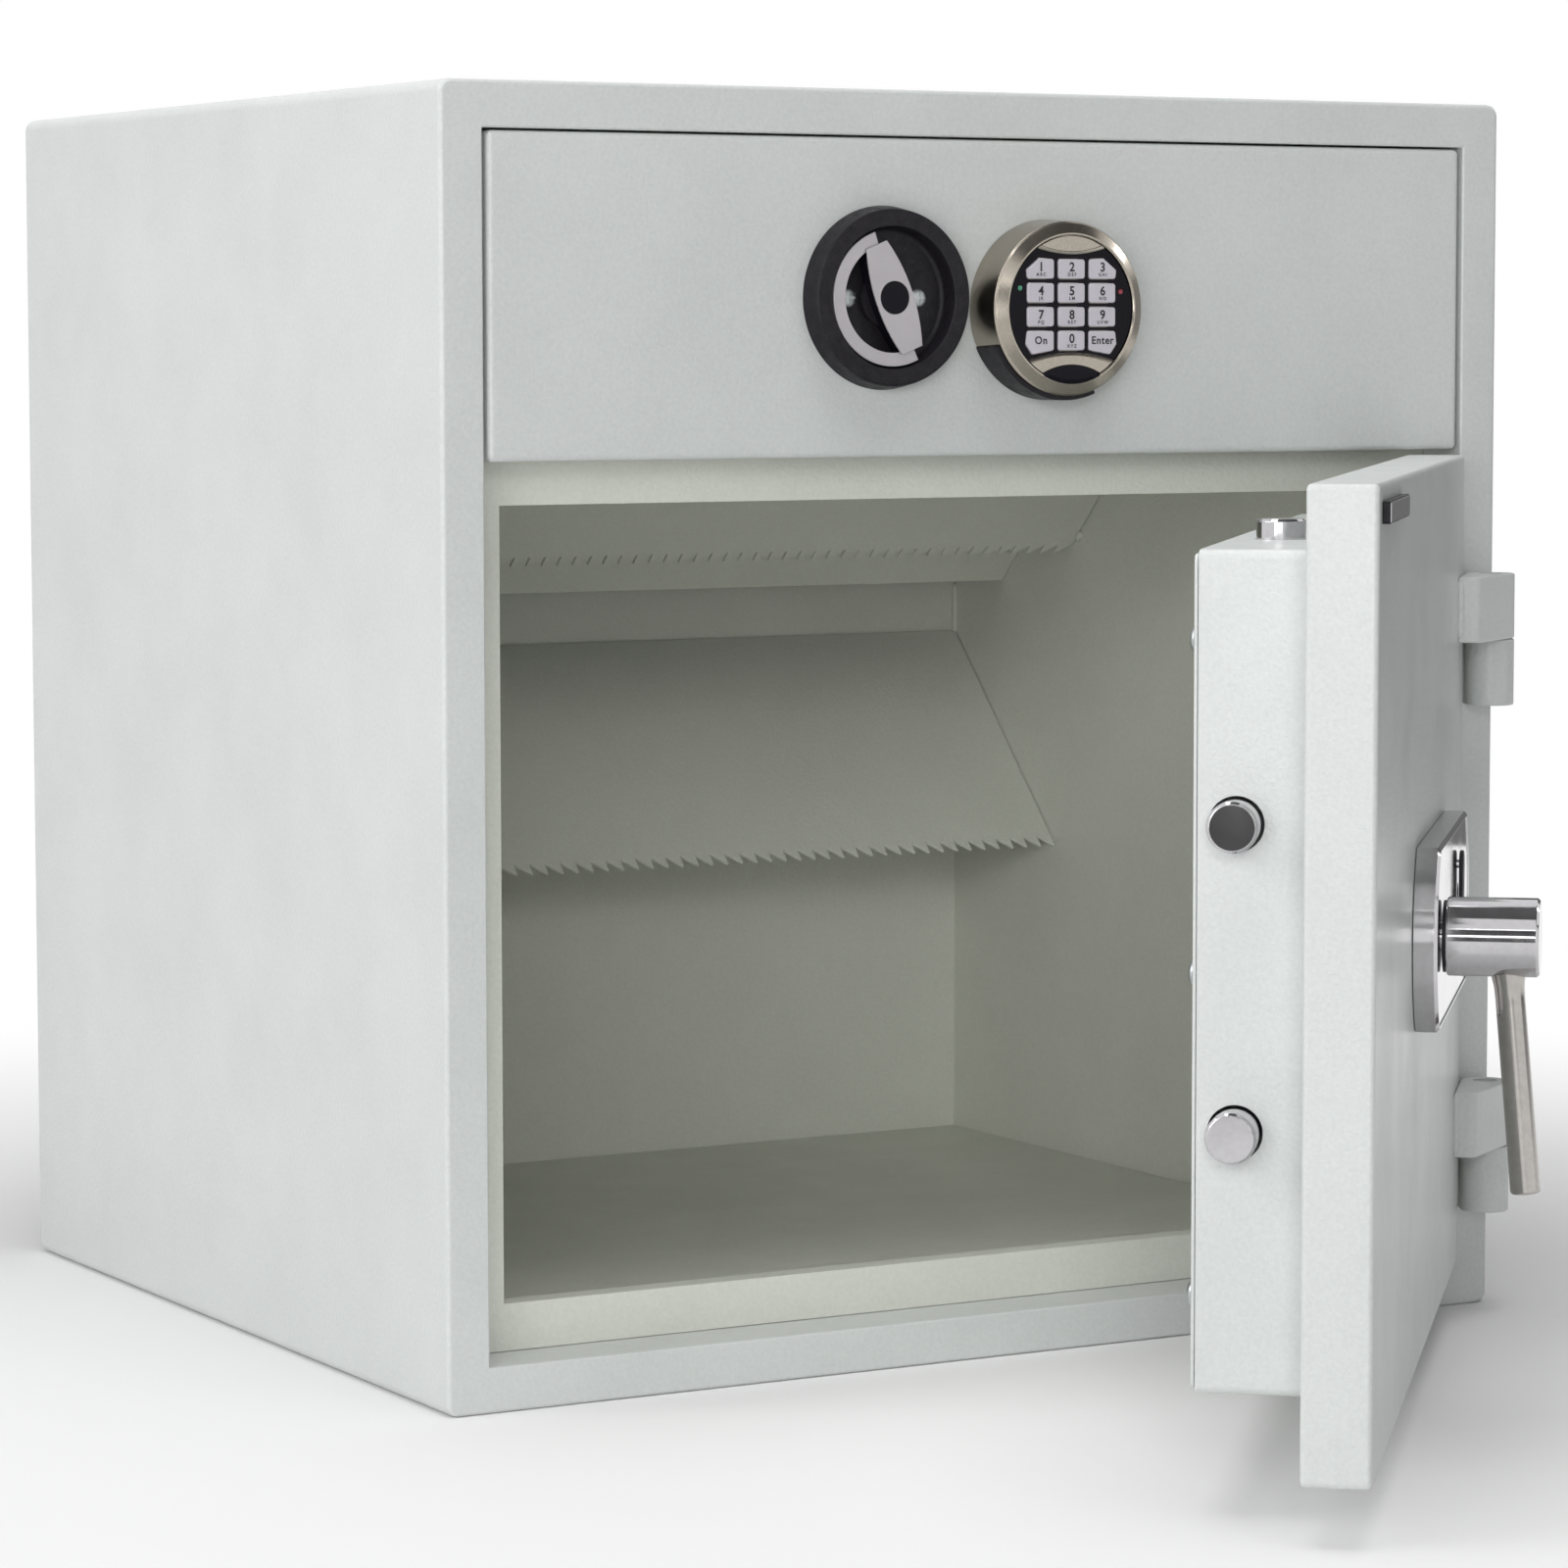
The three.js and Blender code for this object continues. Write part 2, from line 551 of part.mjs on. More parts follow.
// The two drive pins turn a quarter turn, from 45 degrees before to 45 degrees after their middle place
function camPins() {
  return {
    sideRadius: bolt.throw / (2 * slopeShare),
    topRadius: topBolt.throw / (2 * slopeShare),
    side: { x: handleAt.x + bolt.throw / 2, z: handleAt.z - bolt.throw / 2 },
    top: { x: handleAt.x - topBolt.throw / 2, z: handleAt.z - topBolt.throw / 2 },
  };
}

function boltWork(group) {
  const pins = camPins();
  const { radius, chamfer } = bolt;
  const slotHalf = cam.pin + cam.play;
  const tip = boxLeft - bolt.proud;
  const barLeft = boxLeft + boltBar.setback;
  const boltProfile = [
    [0, tip],
    [radius - chamfer, tip],
    [radius, tip + chamfer],
    [radius, barLeft - seat],
    [0, barLeft - seat],
  ];
  boltHeights.forEach((z, i) => {
    const name = ["lower", "upper"][i] + "_side_bolt";
    place(name, turned("x", boltProfile, { y: boltY, z }), chrome, group);
  });

  const barZ = widened(boltHeights, boltBar.beyond);
  const bar = block([barLeft, barLeft + boltBar.width], [armFront, boltY + radius], barZ);
  const armX = [barLeft, pins.side.x + boltBar.pastSlot];
  const arm = block(armX, [armFront, armBack], [handleAt.z - boltBar.armHeight, handleAt.z]);
  const slotX = [pins.side.x - slotHalf, pins.side.x + slotHalf];
  const slotZ = [handleAt.z - pins.sideRadius - slotHalf, pins.side.z + slotHalf];
  const slot = block(slotX, widened([armFront, armBack], overrun), slotZ);
  place("bolt_bar", cut(join(bar, arm), slot), zinc, group);

  const topTip = boxTop + topBolt.proud;
  const rodFoot = topTip - topBolt.length;
  const rodProfile = [
    [0, rodFoot],
    [radius, rodFoot],
    [radius, topTip - chamfer],
    [radius - chamfer, topTip],
    [0, topTip],
  ];
  const stem = turned("z", rodProfile, topBoltAt);
  const strapX = [topBoltAt.x - topBoltFork.strap / 2, topBoltAt.x + topBoltFork.strap / 2];
  const forkY = [forkFront, forkBack];
  const footZ = [rodFoot - topBolt.foot, rodFoot + overrun];
  const foot = block(strapX, [forkFront, topBoltAt.y + radius], footZ);
  const forkSlotZ = [pins.top.z - slotHalf, pins.top.z + slotHalf];
  const forkZ = widened(forkSlotZ, topBoltFork.prong);
  const strap = block(strapX, forkY, [forkZ[0], rodFoot]);
  const fork = block([topBoltAt.x, pins.top.x + topBoltFork.reach], forkY, forkZ);
  const forkSlotX = [handleAt.x - pins.topRadius - slotHalf, pins.top.x + cam.radius];
  const forkSlot = block(forkSlotX, widened(forkY, overrun), forkSlotZ);
  place("top_bolt", cut(join(stem, foot, strap, fork), forkSlot), chrome, group);
}

// Drawer front with its tray
function drawerBody() {
  const sides = innerHalf - drawer.sideGap;
  const slab = softSlab("y", [-sides, sides], [drawerBottom, drawerTop], [0, drawer.thick], drawer.edge);
  const spindleRadius = gripShaft.spindle + seat;
  const spindle = rod("y", spindleRadius, widened([0, drawer.thick], overrun), knobAt, coarseSides);
  place("drawer_front", cut(slab, spindle), paint);

  const inside = trayHalf - tray.sheet;
  const sheetBack = trayFront + tray.sheet;
  const folded = [
    [-trayHalf, trayBack],
    [-trayHalf, trayFront],
    [trayHalf, trayFront],
    [trayHalf, trayBack],
    [inside, trayBack],
    [inside, sheetBack],
    [-inside, sheetBack],
    [-inside, trayBack],
  ];
  const sheet = drawnOut("z", folded, [trayBottom, trayTop]);
  const intoSheet = tray.sheet / 2;
  const ledgeZ = trayBottom + tray.ledgeRise;
  const ledgeX = widened([-inside, inside], intoSheet);
  const ledge = block(ledgeX, [trayFront + intoSheet, trayFront + tray.ledge], [ledgeZ, ledgeZ + tray.sheet]);
  const across = widened([-trayHalf, trayHalf], overrun);
  const spindleHole = rod("y", spindleRadius, widened([trayFront, sheetBack], overrun), knobAt, coarseSides);
  const shaftHole = rod("x", tipShaft.radius + tipFloor.running, across, tipAt, coarseSides);
  const gateHole = rod("x", rearGate.pin + tipFloor.running, across, gateAt, coarseSides);
  place("drawer_tray", cut(join(sheet, ledge), spindleHole, shaftHole, gateHole), innerPaint);
}

// The floor turns on its shaft: up at the front when the drawer is home, flat when it is open
function tippingFloor() {
  const pivot = new THREE.Vector3(0, tipAt.y, tipAt.z);
  const group = turningGroup(works, pivot, new THREE.Vector3(1, 0, 0), -tipFloor.upDegrees);
  const sides = trayHalf - tray.sheet - tipFloor.sideGap;
  const across = [-sides, sides];
  const floorFront = trayFront + tray.ledge - tipFloor.lap;
  const floorZ = [tipAt.z - tipFloor.thick / 2, tipAt.z + tipFloor.thick / 2];
  const sheet = block(across, [floorFront, tipAt.y], floorZ);
  const tube = rod("x", tipFloor.tube, across, tipAt, coarseSides);
  const bore = rod("x", tipShaft.radius + tipFloor.running, widened(across, overrun), tipAt, coarseSides);
  place("tipping_floor", cut(join(sheet, tube), bore), innerPaint, group);

  const rollerOutside = openingHalf - tipRoller.clear;
  const rollerInside = rollerOutside - tipRoller.width;
  const armOutside = rollerInside - tipRoller.standOff;
  const armInside = armOutside - tipShaft.armThick;
  const armEnd = { y: tipAt.y + tipShaft.armLength, z: tipAt.z };
  const parts = [rod("x", tipShaft.radius, [-armOutside, armOutside], tipAt, coarseSides)];
  for (const side of [-1, 1]) {
    const outline = new THREE.Shape();
    outline.absarc(tipAt.y, tipAt.z, tipShaft.eye, Math.PI / 2, 1.5 * Math.PI, false);
    outline.absarc(armEnd.y, armEnd.z, tipRoller.radius, 1.5 * Math.PI, 2.5 * Math.PI, false);
    parts.push(drawnOut("x", outline, sided(side, armInside, armOutside), { curveSegments: 8 }));
    const stub = sided(side, armOutside - overrun, rollerInside + overrun);
    parts.push(rod("x", tipRoller.radius / 2, stub, armEnd, coarseSides));
    parts.push(rod("x", tipRoller.radius, sided(side, rollerInside, rollerOutside), armEnd, coarseSides));
  }
  place("tip_shaft", join(...parts), zinc, group);
}

function gate() {
  const inside = trayHalf - tray.sheet - rearGate.side;
  const across = [-inside, inside];
  const sheetY = [gateAt.y - rearGate.thick / 2, gateAt.y + rearGate.thick / 2];
  const sheet = block(across, sheetY, [trayBottom + rearGate.clear, gateAt.z]);
  const curl = rod("x", rearGate.curl, across, gateAt, coarseSides);
  const pin = rod("x", rearGate.pin, [-trayHalf, trayHalf], gateAt, coarseSides);
  place("rear_gate", join(sheet, curl, pin), innerPaint);
}

// A runner's channel: its web stands at one distance from the middle and its open side at another
function channel(side, web, open, height, rangeY) {
  const inward = Math.sign(open - web);
  const rangeZ = [runnerZ - height / 2, runnerZ + height / 2];
  const shell = block(sided(side, web, open), rangeY, rangeZ);
  const hollowX = sided(side, web + inward * runner.sheet, open + inward * overrun);
  const hollow = block(hollowX, widened(rangeY, overrun), widened(rangeZ, -runner.sheet));
  return cut(shell, hollow);
}

// The rail over a floor roller: one slope that holds the floor up at home and lets it down when open
function railOutline() {
  const railAt = (slide, degrees) => {
    const angle = THREE.MathUtils.degToRad(degrees);
    const y = tipAt.y - slide + tipShaft.armLength * Math.cos(angle);
    return [y, tipAt.z - tipShaft.armLength * Math.sin(angle) + tipRoller.radius + seat];
  };
  const [homeY, homeZ] = railAt(0, tipFloor.upDegrees);
  const [openY, openZ] = railAt(drawerTravel, 0);
  const rise = (openZ - homeZ) / (homeY - openY);
  const past = tipRoller.radius;
  return [
    [openY - past, openZ + past * rise],
    [homeY + past, homeZ - past * rise],
    [homeY + past, homeZ - past * rise + tipRail.height],
    [openY - past, openZ + past * rise + tipRail.height],
  ];
}

// Telescopic runners, and the spacers that carry them
function runners() {
  const step = 2 * (runner.sheet + seat);
  const middleHeight = runner.height - step;
  const innerHeight = middleHeight - step;
  const middleWeb = openingHalf - runner.sheet - runner.ball;
  const innerWeb = trayHalf + seat;
  const innerOpen = middleWeb - runner.sheet - innerRunner.gap;
  const runnerFront = frameBack + runner.setback;
  const range = [runnerFront, runnerFront + runner.length];
  const innerFront = trayFront + innerRunner.setback;
  const innerRange = [innerFront, innerFront + innerRunner.length];
  const spacerInside = openingHalf + seat;
  const spacerZ = [runnerZ - runnerSpacer.below, runnerZ + runnerSpacer.above];
  const pairs = [
    ["left", -1],
    ["right", 1],
  ];
  for (const [word, side] of pairs) {
    const outer = channel(side, openingHalf, trayHalf + runner.clear, runner.height, range);
    place(word + "_runner_outer", outer, zinc);
    const middle = channel(side, middleWeb, trayHalf + middleRunner.clear, middleHeight, range);
    place(word + "_runner_middle", middle, zinc);
    place(word + "_runner_inner", channel(side, innerWeb, innerOpen, innerHeight, innerRange), zinc);
    const spacer = block(sided(side, spacerInside, innerHalf - seat), range, spacerZ);
    const railX = sided(side, spacerInside - tipRail.depth, spacerInside + overrun);
    place(word + "_runner_spacer", join(spacer, drawnOut("x", railOutline(), railX)), zinc);
  }
}

// Drawer lock: the knob's spindle lifts the latch behind the frame
function drawerLock() {
  const { wall } = lockCase;
  const caseX = [knobAt.x - lockCase.half, knobAt.x + lockCase.half];
  const caseY = [lockCaseFront, lockCaseFront + lockCase.depth];
  const caseZ = [knobAt.z - lockCase.below, knobAt.z + lockCase.above];
  const shell = block(caseX, caseY, caseZ);
  const hollow = block(widened(caseX, -wall), widened(caseY, -wall), widened(caseZ, -wall));
  const frontWall = widened([lockCaseFront, lockCaseFront + wall], overrun);
  const spindleHole = rod("y", gripShaft.spindle + seat, frontWall, knobAt, coarseSides);
  const latchFront = frameBack + latch.behindFrame;
  const latchX = [knobAt.x - latch.half, knobAt.x + latch.half];
  const latchY = [latchFront, latchFront + latch.thick];
  const latchTop = openingTop - latch.below;
  const slotZ = widened([caseZ[1] - wall, caseZ[1]], overrun);
  const slot = block(widened(latchX, seat), widened(latchY, seat), slotZ);
  place("drawer_lock_case", cut(shell, hollow, spindleHole, slot), zinc);
  place("drawer_latch", block(latchX, latchY, [latchTop - latch.length, latchTop]), zinc);
}

function knobDish() {
  const { baseRadius, rimRadius, well, deep, thick, edge } = dish;
  const front = -thick - seat;
  const bore = gripShaft.spindle + seat;
  const profile = [
    [bore, front + deep],
    [well, front + deep],
    [well, front + edge],
    [well + edge, front],
    [rimRadius - edge, front],
    [rimRadius, front + edge],
    [baseRadius, -seat],
    [bore, -seat],
    [bore, front + deep],
  ];
  place("knob_dish", turned("y", profile, knobAt, fineSides), blackPlastic);
}

// The grip and its half ring stand clear of the dish's floor, so that they pass over its screws
function knobGrip() {
  const { x, z } = knobAt;
  const floor = -dish.thick - seat + dish.deep;
  const underside = floor - grip.lift;
  const pivot = new THREE.Vector3(x, 0, z);
  const group = turningGroup(works, pivot, new THREE.Vector3(0, 1, 0), -grip.tiltDegrees);
  const reach = grip.length / 2;
  const end = grip.endWidth / 2;
  const belly = (grip.midWidth - grip.endWidth) / 2;
  const arcRadius = (reach * reach + belly * belly) / (2 * belly);
  const arcHalf = Math.asin(reach / arcRadius);
  const arcX = end + belly - arcRadius;
  const lens = new THREE.Shape();
  lens.absarc(x + arcX, z, arcRadius, -arcHalf, arcHalf, false);
  lens.absarc(x - arcX, z, arcRadius, Math.PI - arcHalf, Math.PI + arcHalf, false);
  const bar = drawnOut("y", lens, [-grip.face, underside], { curveSegments: 10 });
  const ring = new THREE.Shape();
  ring.absarc(x, z, halfRing.outer, Math.PI / 2, 1.5 * Math.PI, false);
  ring.absarc(x, z, halfRing.inner, 1.5 * Math.PI, Math.PI / 2, true);
  const wall = drawnOut("y", ring, [-halfRing.face, underside], { curveSegments: 20 });
  const between = (halfRing.outer + halfRing.inner) / 2;
  const web = block([x - end, x + end], [underside - halfRing.web, underside], [z - between, z + between]);
  const boss = rod("y", gripShaft.boss, [underside - overrun, floor - seat], knobAt);
  const spindleEnd = lockCaseFront + lockCase.depth - lockCase.wall - seat;
  const spindle = rod("y", gripShaft.spindle, [underside - overrun, spindleEnd], knobAt, coarseSides);
  place("knob_grip", join(bar, wall, web, boss, spindle), silver, group);
}

// Keypad
function keypadPieces() {
  const { baseRadius, rimRadius, barrel, depth } = keypad;
  const { chamfer, faceRadius, well } = keypadRim;
  const floor = -depth + well;
  const profile = [
    [0, floor],
    [faceRadius, floor],
    [faceRadius, -depth],
    [rimRadius - chamfer, -barrel - chamfer],
    [rimRadius, -barrel],
    [baseRadius, -seat],
    [0, -seat],
  ];
  place("keypad_housing", turned("y", profile, keypadAt, fineSides), nickel);

  const faceFront = keypadFace.sunk - depth;
  const faceBack = floor - seat;
  const blank = rod("y", faceRadius - seat, [faceFront, faceBack], keypadAt, fineSides);
  const pocketY = [faceFront - overrun, floor + overrun];
  const middleRow = (keyNames.length - 1) / 2;
  const pockets = [];
  keyNames.forEach((row, j) => {
    const middleColumn = (row.length - 1) / 2;
    const z = keypadAt.z + key.rise + (middleRow - j) * key.pitchZ;
    const keyZ = [z - key.height / 2, z + key.height / 2];
    row.forEach((name, i) => {
      const x = keypadAt.x + (i - middleColumn) * key.pitchX;
      const keyX = [x - key.width / 2, x + key.width / 2];
      place(name, block(keyX, [faceFront - key.raise, faceBack - key.travel], keyZ), keyPlastic);
      pockets.push(block(widened(keyX, key.play), pocketY, widened(keyZ, key.play)));
    });
  });
  place("keypad_face", cut(blank, ...pockets), blackPlastic);
}

const hingeLine = new THREE.Vector3(hingeX, hingeY, 0);
const doorGroup = turningGroup(works, hingeLine, new THREE.Vector3(0, 0, 1), door.openDegrees);
casing();
frame();
shelf();
sawPlates();
runners();
hinges(doorGroup);
doorPlate(doorGroup);
doorBox(doorGroup);
handlePlate(doorGroup);
handleWorks(doorGroup);
boltWork(doorGroup);
drawerBody();
tippingFloor();
gate();
drawerLock();
knobDish();
knobGrip();
keypadPieces();

export default safe;
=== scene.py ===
# %% [markdown]
# # A drop safe with a deposit drawer
#
# A steel safe for a shop's counter: the lower door stands open, and the locked drawer above it
# tips its deposit into the compartment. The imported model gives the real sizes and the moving
# bodies. This lesson dresses it: it builds the shapes that show, gives every surface its finish,
# and sets up a plain white studio.

import cmath
import json
import math
import random

import bmesh
import bpy
from mathutils import Matrix, Vector

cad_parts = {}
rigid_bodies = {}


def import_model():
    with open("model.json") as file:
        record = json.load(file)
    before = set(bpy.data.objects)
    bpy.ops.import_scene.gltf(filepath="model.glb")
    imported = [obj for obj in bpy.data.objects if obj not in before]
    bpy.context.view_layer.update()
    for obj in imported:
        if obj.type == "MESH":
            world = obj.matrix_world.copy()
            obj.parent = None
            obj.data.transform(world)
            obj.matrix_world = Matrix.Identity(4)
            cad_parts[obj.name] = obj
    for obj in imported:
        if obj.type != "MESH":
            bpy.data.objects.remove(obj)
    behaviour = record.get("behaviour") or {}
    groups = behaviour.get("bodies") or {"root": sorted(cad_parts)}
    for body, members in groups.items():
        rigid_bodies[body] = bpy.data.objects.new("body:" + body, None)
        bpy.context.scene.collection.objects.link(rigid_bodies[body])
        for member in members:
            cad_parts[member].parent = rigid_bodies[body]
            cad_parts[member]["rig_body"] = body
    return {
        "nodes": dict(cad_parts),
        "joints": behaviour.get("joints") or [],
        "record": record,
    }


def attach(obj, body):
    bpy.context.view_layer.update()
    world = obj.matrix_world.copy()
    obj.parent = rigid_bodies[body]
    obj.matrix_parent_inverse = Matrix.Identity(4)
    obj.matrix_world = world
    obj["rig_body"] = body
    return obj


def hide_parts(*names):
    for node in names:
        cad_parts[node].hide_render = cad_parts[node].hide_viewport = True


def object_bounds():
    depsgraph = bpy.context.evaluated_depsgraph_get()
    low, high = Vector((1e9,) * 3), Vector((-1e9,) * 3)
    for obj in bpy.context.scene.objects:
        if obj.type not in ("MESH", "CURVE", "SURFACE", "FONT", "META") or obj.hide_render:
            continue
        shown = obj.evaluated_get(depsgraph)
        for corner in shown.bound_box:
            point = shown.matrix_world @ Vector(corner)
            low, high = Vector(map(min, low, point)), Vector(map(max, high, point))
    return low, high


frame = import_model()
cad_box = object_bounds()
MM = 0.001


def place_in_scene(name, data):
    """An object for a mesh, a lamp, the camera or a line of type."""
    thing = bpy.data.objects.new(name, data)
    bpy.context.scene.collection.objects.link(thing)
    return thing


# %% [markdown]
# ## The camera
#
# The photograph was taken from the front left, a little above the middle of the safe, with a long
# lens. The place and the angles come from fitting the body's corners. Blender's camera looks
# along its own -Z, so the pitch is measured from straight down.

# %% Place the camera
CAMERA_PLACE = (-1.33587, -2.42342, 0.49935)
CAMERA_YAW = 0.51198
CAMERA_PITCH = 0.08447
CAMERA_ROLL = -0.00153
FOCAL_PIXELS = 5317.718
FRAME_PIXELS = 1600
SENSOR = 36.0


def place_camera():
    lens = bpy.data.cameras.new("camera")
    lens.sensor_width = SENSOR
    lens.lens = FOCAL_PIXELS / FRAME_PIXELS * SENSOR
    camera = place_in_scene("camera", lens)
    turn = Matrix.Rotation(-CAMERA_YAW, 4, "Z") @ Matrix.Rotation(math.pi / 2 - CAMERA_PITCH, 4, "X")
    turn = turn @ Matrix.Rotation(CAMERA_ROLL, 4, "Z")
    camera.matrix_world = Matrix.Translation(CAMERA_PLACE) @ turn
    bpy.context.scene.camera = camera
    return camera


print("lens", round(place_camera().data.lens, 2), "mm")

# %% Show colours as they are written
bpy.context.scene.view_settings.view_transform = "Standard"

# %% [markdown]
# ## The studio
#
# A white sweep of floor with soft light from the left, as in a product photograph. The sky is
# white only for the camera and in reflections, and a dimmer grey as a light, so that the pale
# paint keeps its shading. Further from the safe the floor turns into the same white.

# %% Helpers for node trees
def link(tree, source, target):
    tree.links.new(source, target)


def node(tree, kind, **values):
    """Add a shader node; a value goes to the node's own setting, or else to its socket."""
    made = tree.nodes.new("ShaderNode" + kind)
    for name, value in values.items():
        if hasattr(made, name):
            setattr(made, name, value)
        else:
            made.inputs[name.replace("_", " ")].default_value = value
    return made


def empty_material(name):
    material = bpy.data.materials.new(name)
    material.use_nodes = True
    material.node_tree.nodes.clear()
    output = material.node_tree.nodes.new("ShaderNodeOutputMaterial")
    return material, material.node_tree, output


def plain(tree, kind, grey, **values):
    """The output of a shader in one even grey."""
    made = node(tree, kind, **values)
    made.inputs["Color"].default_value = (grey, grey, grey, 1.0)
    return made.outputs[0]


def blended(tree, share, first, second, output):
    """Show the second shader where the share is one, and the first where it is zero."""
    both = node(tree, "MixShader")
    for socket, source in zip(both.inputs, (share, first, second)):
        link(tree, source, socket)
    link(tree, both.outputs[0], output.inputs["Surface"])


# %% The sky
SKY_LIGHT = 0.12
WHITE = 1.0


def rays_that_see(tree):
    """One for the camera's rays, mirrors' rays and rays through glass, and nothing for light."""
    rays = node(tree, "LightPath")
    value = rays.outputs["Is Camera Ray"]
    for name in ("Is Glossy Ray", "Is Transmission Ray"):
        more = node(tree, "Math", operation="MAXIMUM")
        link(tree, value, more.inputs[0])
        link(tree, rays.outputs[name], more.inputs[1])
        value = more.outputs[0]
    return value


def light_the_world():
    world = bpy.data.worlds.new("studio")
    bpy.context.scene.world = world
    world.use_nodes = True
    tree = world.node_tree
    tree.nodes.clear()
    output = tree.nodes.new("ShaderNodeOutputWorld")
    dim = plain(tree, "Background", WHITE, Strength=SKY_LIGHT)
    white = plain(tree, "Background", WHITE, Strength=1.0)
    blended(tree, rays_that_see(tree), dim, white, output)


light_the_world()

# %% Lamps
LAMP_TARGET = Vector((0.05, -0.1, 0.3))
LAMPS = {
    "left_lamp": {"place": (-3.586, 0.314, 2.3), "size": 2.4, "watts": 61.0},
    "camera_lamp": {"place": (-2.314, -2.758, 0.7), "size": 2.4, "watts": 58.0},
    "top_lamp": {"place": (-0.2, -0.6, 3.6), "size": 2.4, "watts": 77.0},
    "spark_lamp": {"place": (-1.49, -3.13, 1.2), "size": 0.4, "watts": 9.0},
    "glint_lamp": {"place": (2.4, -0.6, 1.5), "size": 0.22, "watts": 2.6},
}


def aimed(place):
    """A frame at a place that looks at the safe."""
    place = Vector(place)
    aim = (LAMP_TARGET - place).to_track_quat("-Z", "Y")
    return Matrix.Translation(place) @ aim.to_matrix().to_4x4()


def place_lamp(name, values):
    lamp = bpy.data.lights.new(name, "AREA")
    lamp.size = values["size"]
    lamp.energy = values["watts"]
    place_in_scene(name, lamp).matrix_world = aimed(values["place"])


for name, values in LAMPS.items():
    place_lamp(name, values)
print(len(LAMPS), "lamps")

# %% [markdown]
# Polished metal is only a mirror, so in an all-white room it looks white and flat. A product
# photographer stands dark cards outside the picture, and their reflections draw the metal's
# shape. These cards show in gloss alone: they throw no shadow and take no light away.

# %% Dark cards
CARDS = {
    "card_above": {"place": (0.6, -1.2, 2.4), "width": 3.0, "height": 3.0, "grey": 0.10},
    "card_front_left": {"place": (-1.55, -2.25, 1.0), "width": 2.4, "height": 0.75, "grey": 0.05},
    "card_bolts": {"place": (-1.10, -1.62, 0.14), "width": 0.42, "height": 0.46, "grey": 0.09},
    "card_low_front": {"place": (-0.9, -3.0, 0.5), "width": 0.9, "height": 1.4, "grey": 0.12},
    "card_right": {"place": (2.7, -1.2, 0.3), "width": 2.2, "height": 1.7, "grey": 0.18},
    "card_behind_safe": {"place": (2.0, 1.5, 0.5), "width": 2.6, "height": 2.6, "grey": 0.16},
}


def flat_sheet(name, across, up, height, material):
    """A rectangle that reaches across and up to both sides of its middle."""
    mesh = bpy.data.meshes.new(name)
    corners = [(-across, -up, height), (across, -up, height), (across, up, height), (-across, up, height)]
    mesh.from_pydata(corners, [], [(0, 1, 2, 3)])
    mesh.materials.append(material)
    return place_in_scene(name, mesh)


def place_card(name, values):
    material, tree, output = empty_material(name)
    link(tree, plain(tree, "Emission", values["grey"], Strength=1.0), output.inputs["Surface"])
    card = flat_sheet(name, values["width"] / 2, values["height"] / 2, 0.0, material)
    card.matrix_world = aimed(values["place"])
    card.visible_camera = False
    card.visible_diffuse = False
    card.visible_shadow = False


for name, values in CARDS.items():
    place_card(name, values)
print(len(CARDS), "cards")

# %% The floor
FLOOR_HALF = 40.0
FLOOR_NEAR = 0.35
FLOOR_FAR = 1.2
FLOOR_GREY = 0.84


def floor_material():
    material, tree, output = empty_material("floor")
    place = node(tree, "TexCoord")
    distance = node(tree, "VectorMath", operation="LENGTH")
    link(tree, place.outputs["Object"], distance.inputs[0])
    fade = node(tree, "MapRange", interpolation_type="SMOOTHSTEP")
    fade.inputs["From Min"].default_value = FLOOR_NEAR
    fade.inputs["From Max"].default_value = FLOOR_FAR
    link(tree, distance.outputs["Value"], fade.inputs["Value"])
    seen = node(tree, "Math", operation="MULTIPLY")
    link(tree, fade.outputs["Result"], seen.inputs[0])
    link(tree, rays_that_see(tree), seen.inputs[1])
    shaded = plain(tree, "BsdfDiffuse", FLOOR_GREY)
    white = plain(tree, "Emission", WHITE, Strength=1.0)
    blended(tree, seen.outputs[0], shaded, white, output)
    return material


flat_sheet("floor", FLOOR_HALF, FLOOR_HALF, cad_box[0][2], floor_material())

# %% [markdown]
# ## Finishes
#
# The steel is painted a pale grey-green. Such paint dries with a fine orange-peel skin, so its
# gloss breaks up in small bumps, and its tone varies a little over each sheet. Plating, satin
# metal and moulded plastic each have a skin of their own. What several finishes share is made
# once, as a node group with its own inputs, and each finish places it with its own values.

# %% Helpers for node groups
NOISE_ROUGHNESS = 0.6
FINE_DETAIL, LATHE_DETAIL, BROAD_DETAIL = 2.0, 3.0, 4.0
NOISE_MIDDLE = (0.32, 0.68)


def new_group(name, inputs, outputs):
    """A node group; an input is (label, first value), or (label, None) where it is a vector."""
    group = bpy.data.node_groups.new(name, "ShaderNodeTree")
    for label, value in inputs:
        kind = "NodeSocketVector" if value is None else "NodeSocketFloat"
        socket = group.interface.new_socket(label, in_out="INPUT", socket_type=kind)
        if value is not None:
            socket.default_value = value
    for label in outputs:
        group.interface.new_socket(label, in_out="OUTPUT", socket_type="NodeSocketFloat")
    return group, group.nodes.new("NodeGroupInput"), group.nodes.new("NodeGroupOutput")


def feed(tree, socket, value):
    """Give a socket a number, or link it to another socket."""
    if isinstance(value, float):
        socket.default_value = value
    else:
        link(tree, value, socket)


def noise(tree, place, detail, scale):
    made = node(tree, "TexNoise", Detail=detail, Roughness=NOISE_ROUGHNESS)
    link(tree, place, made.inputs["Vector"])
    feed(tree, made.inputs["Scale"], scale)
    return made.outputs["Fac"]


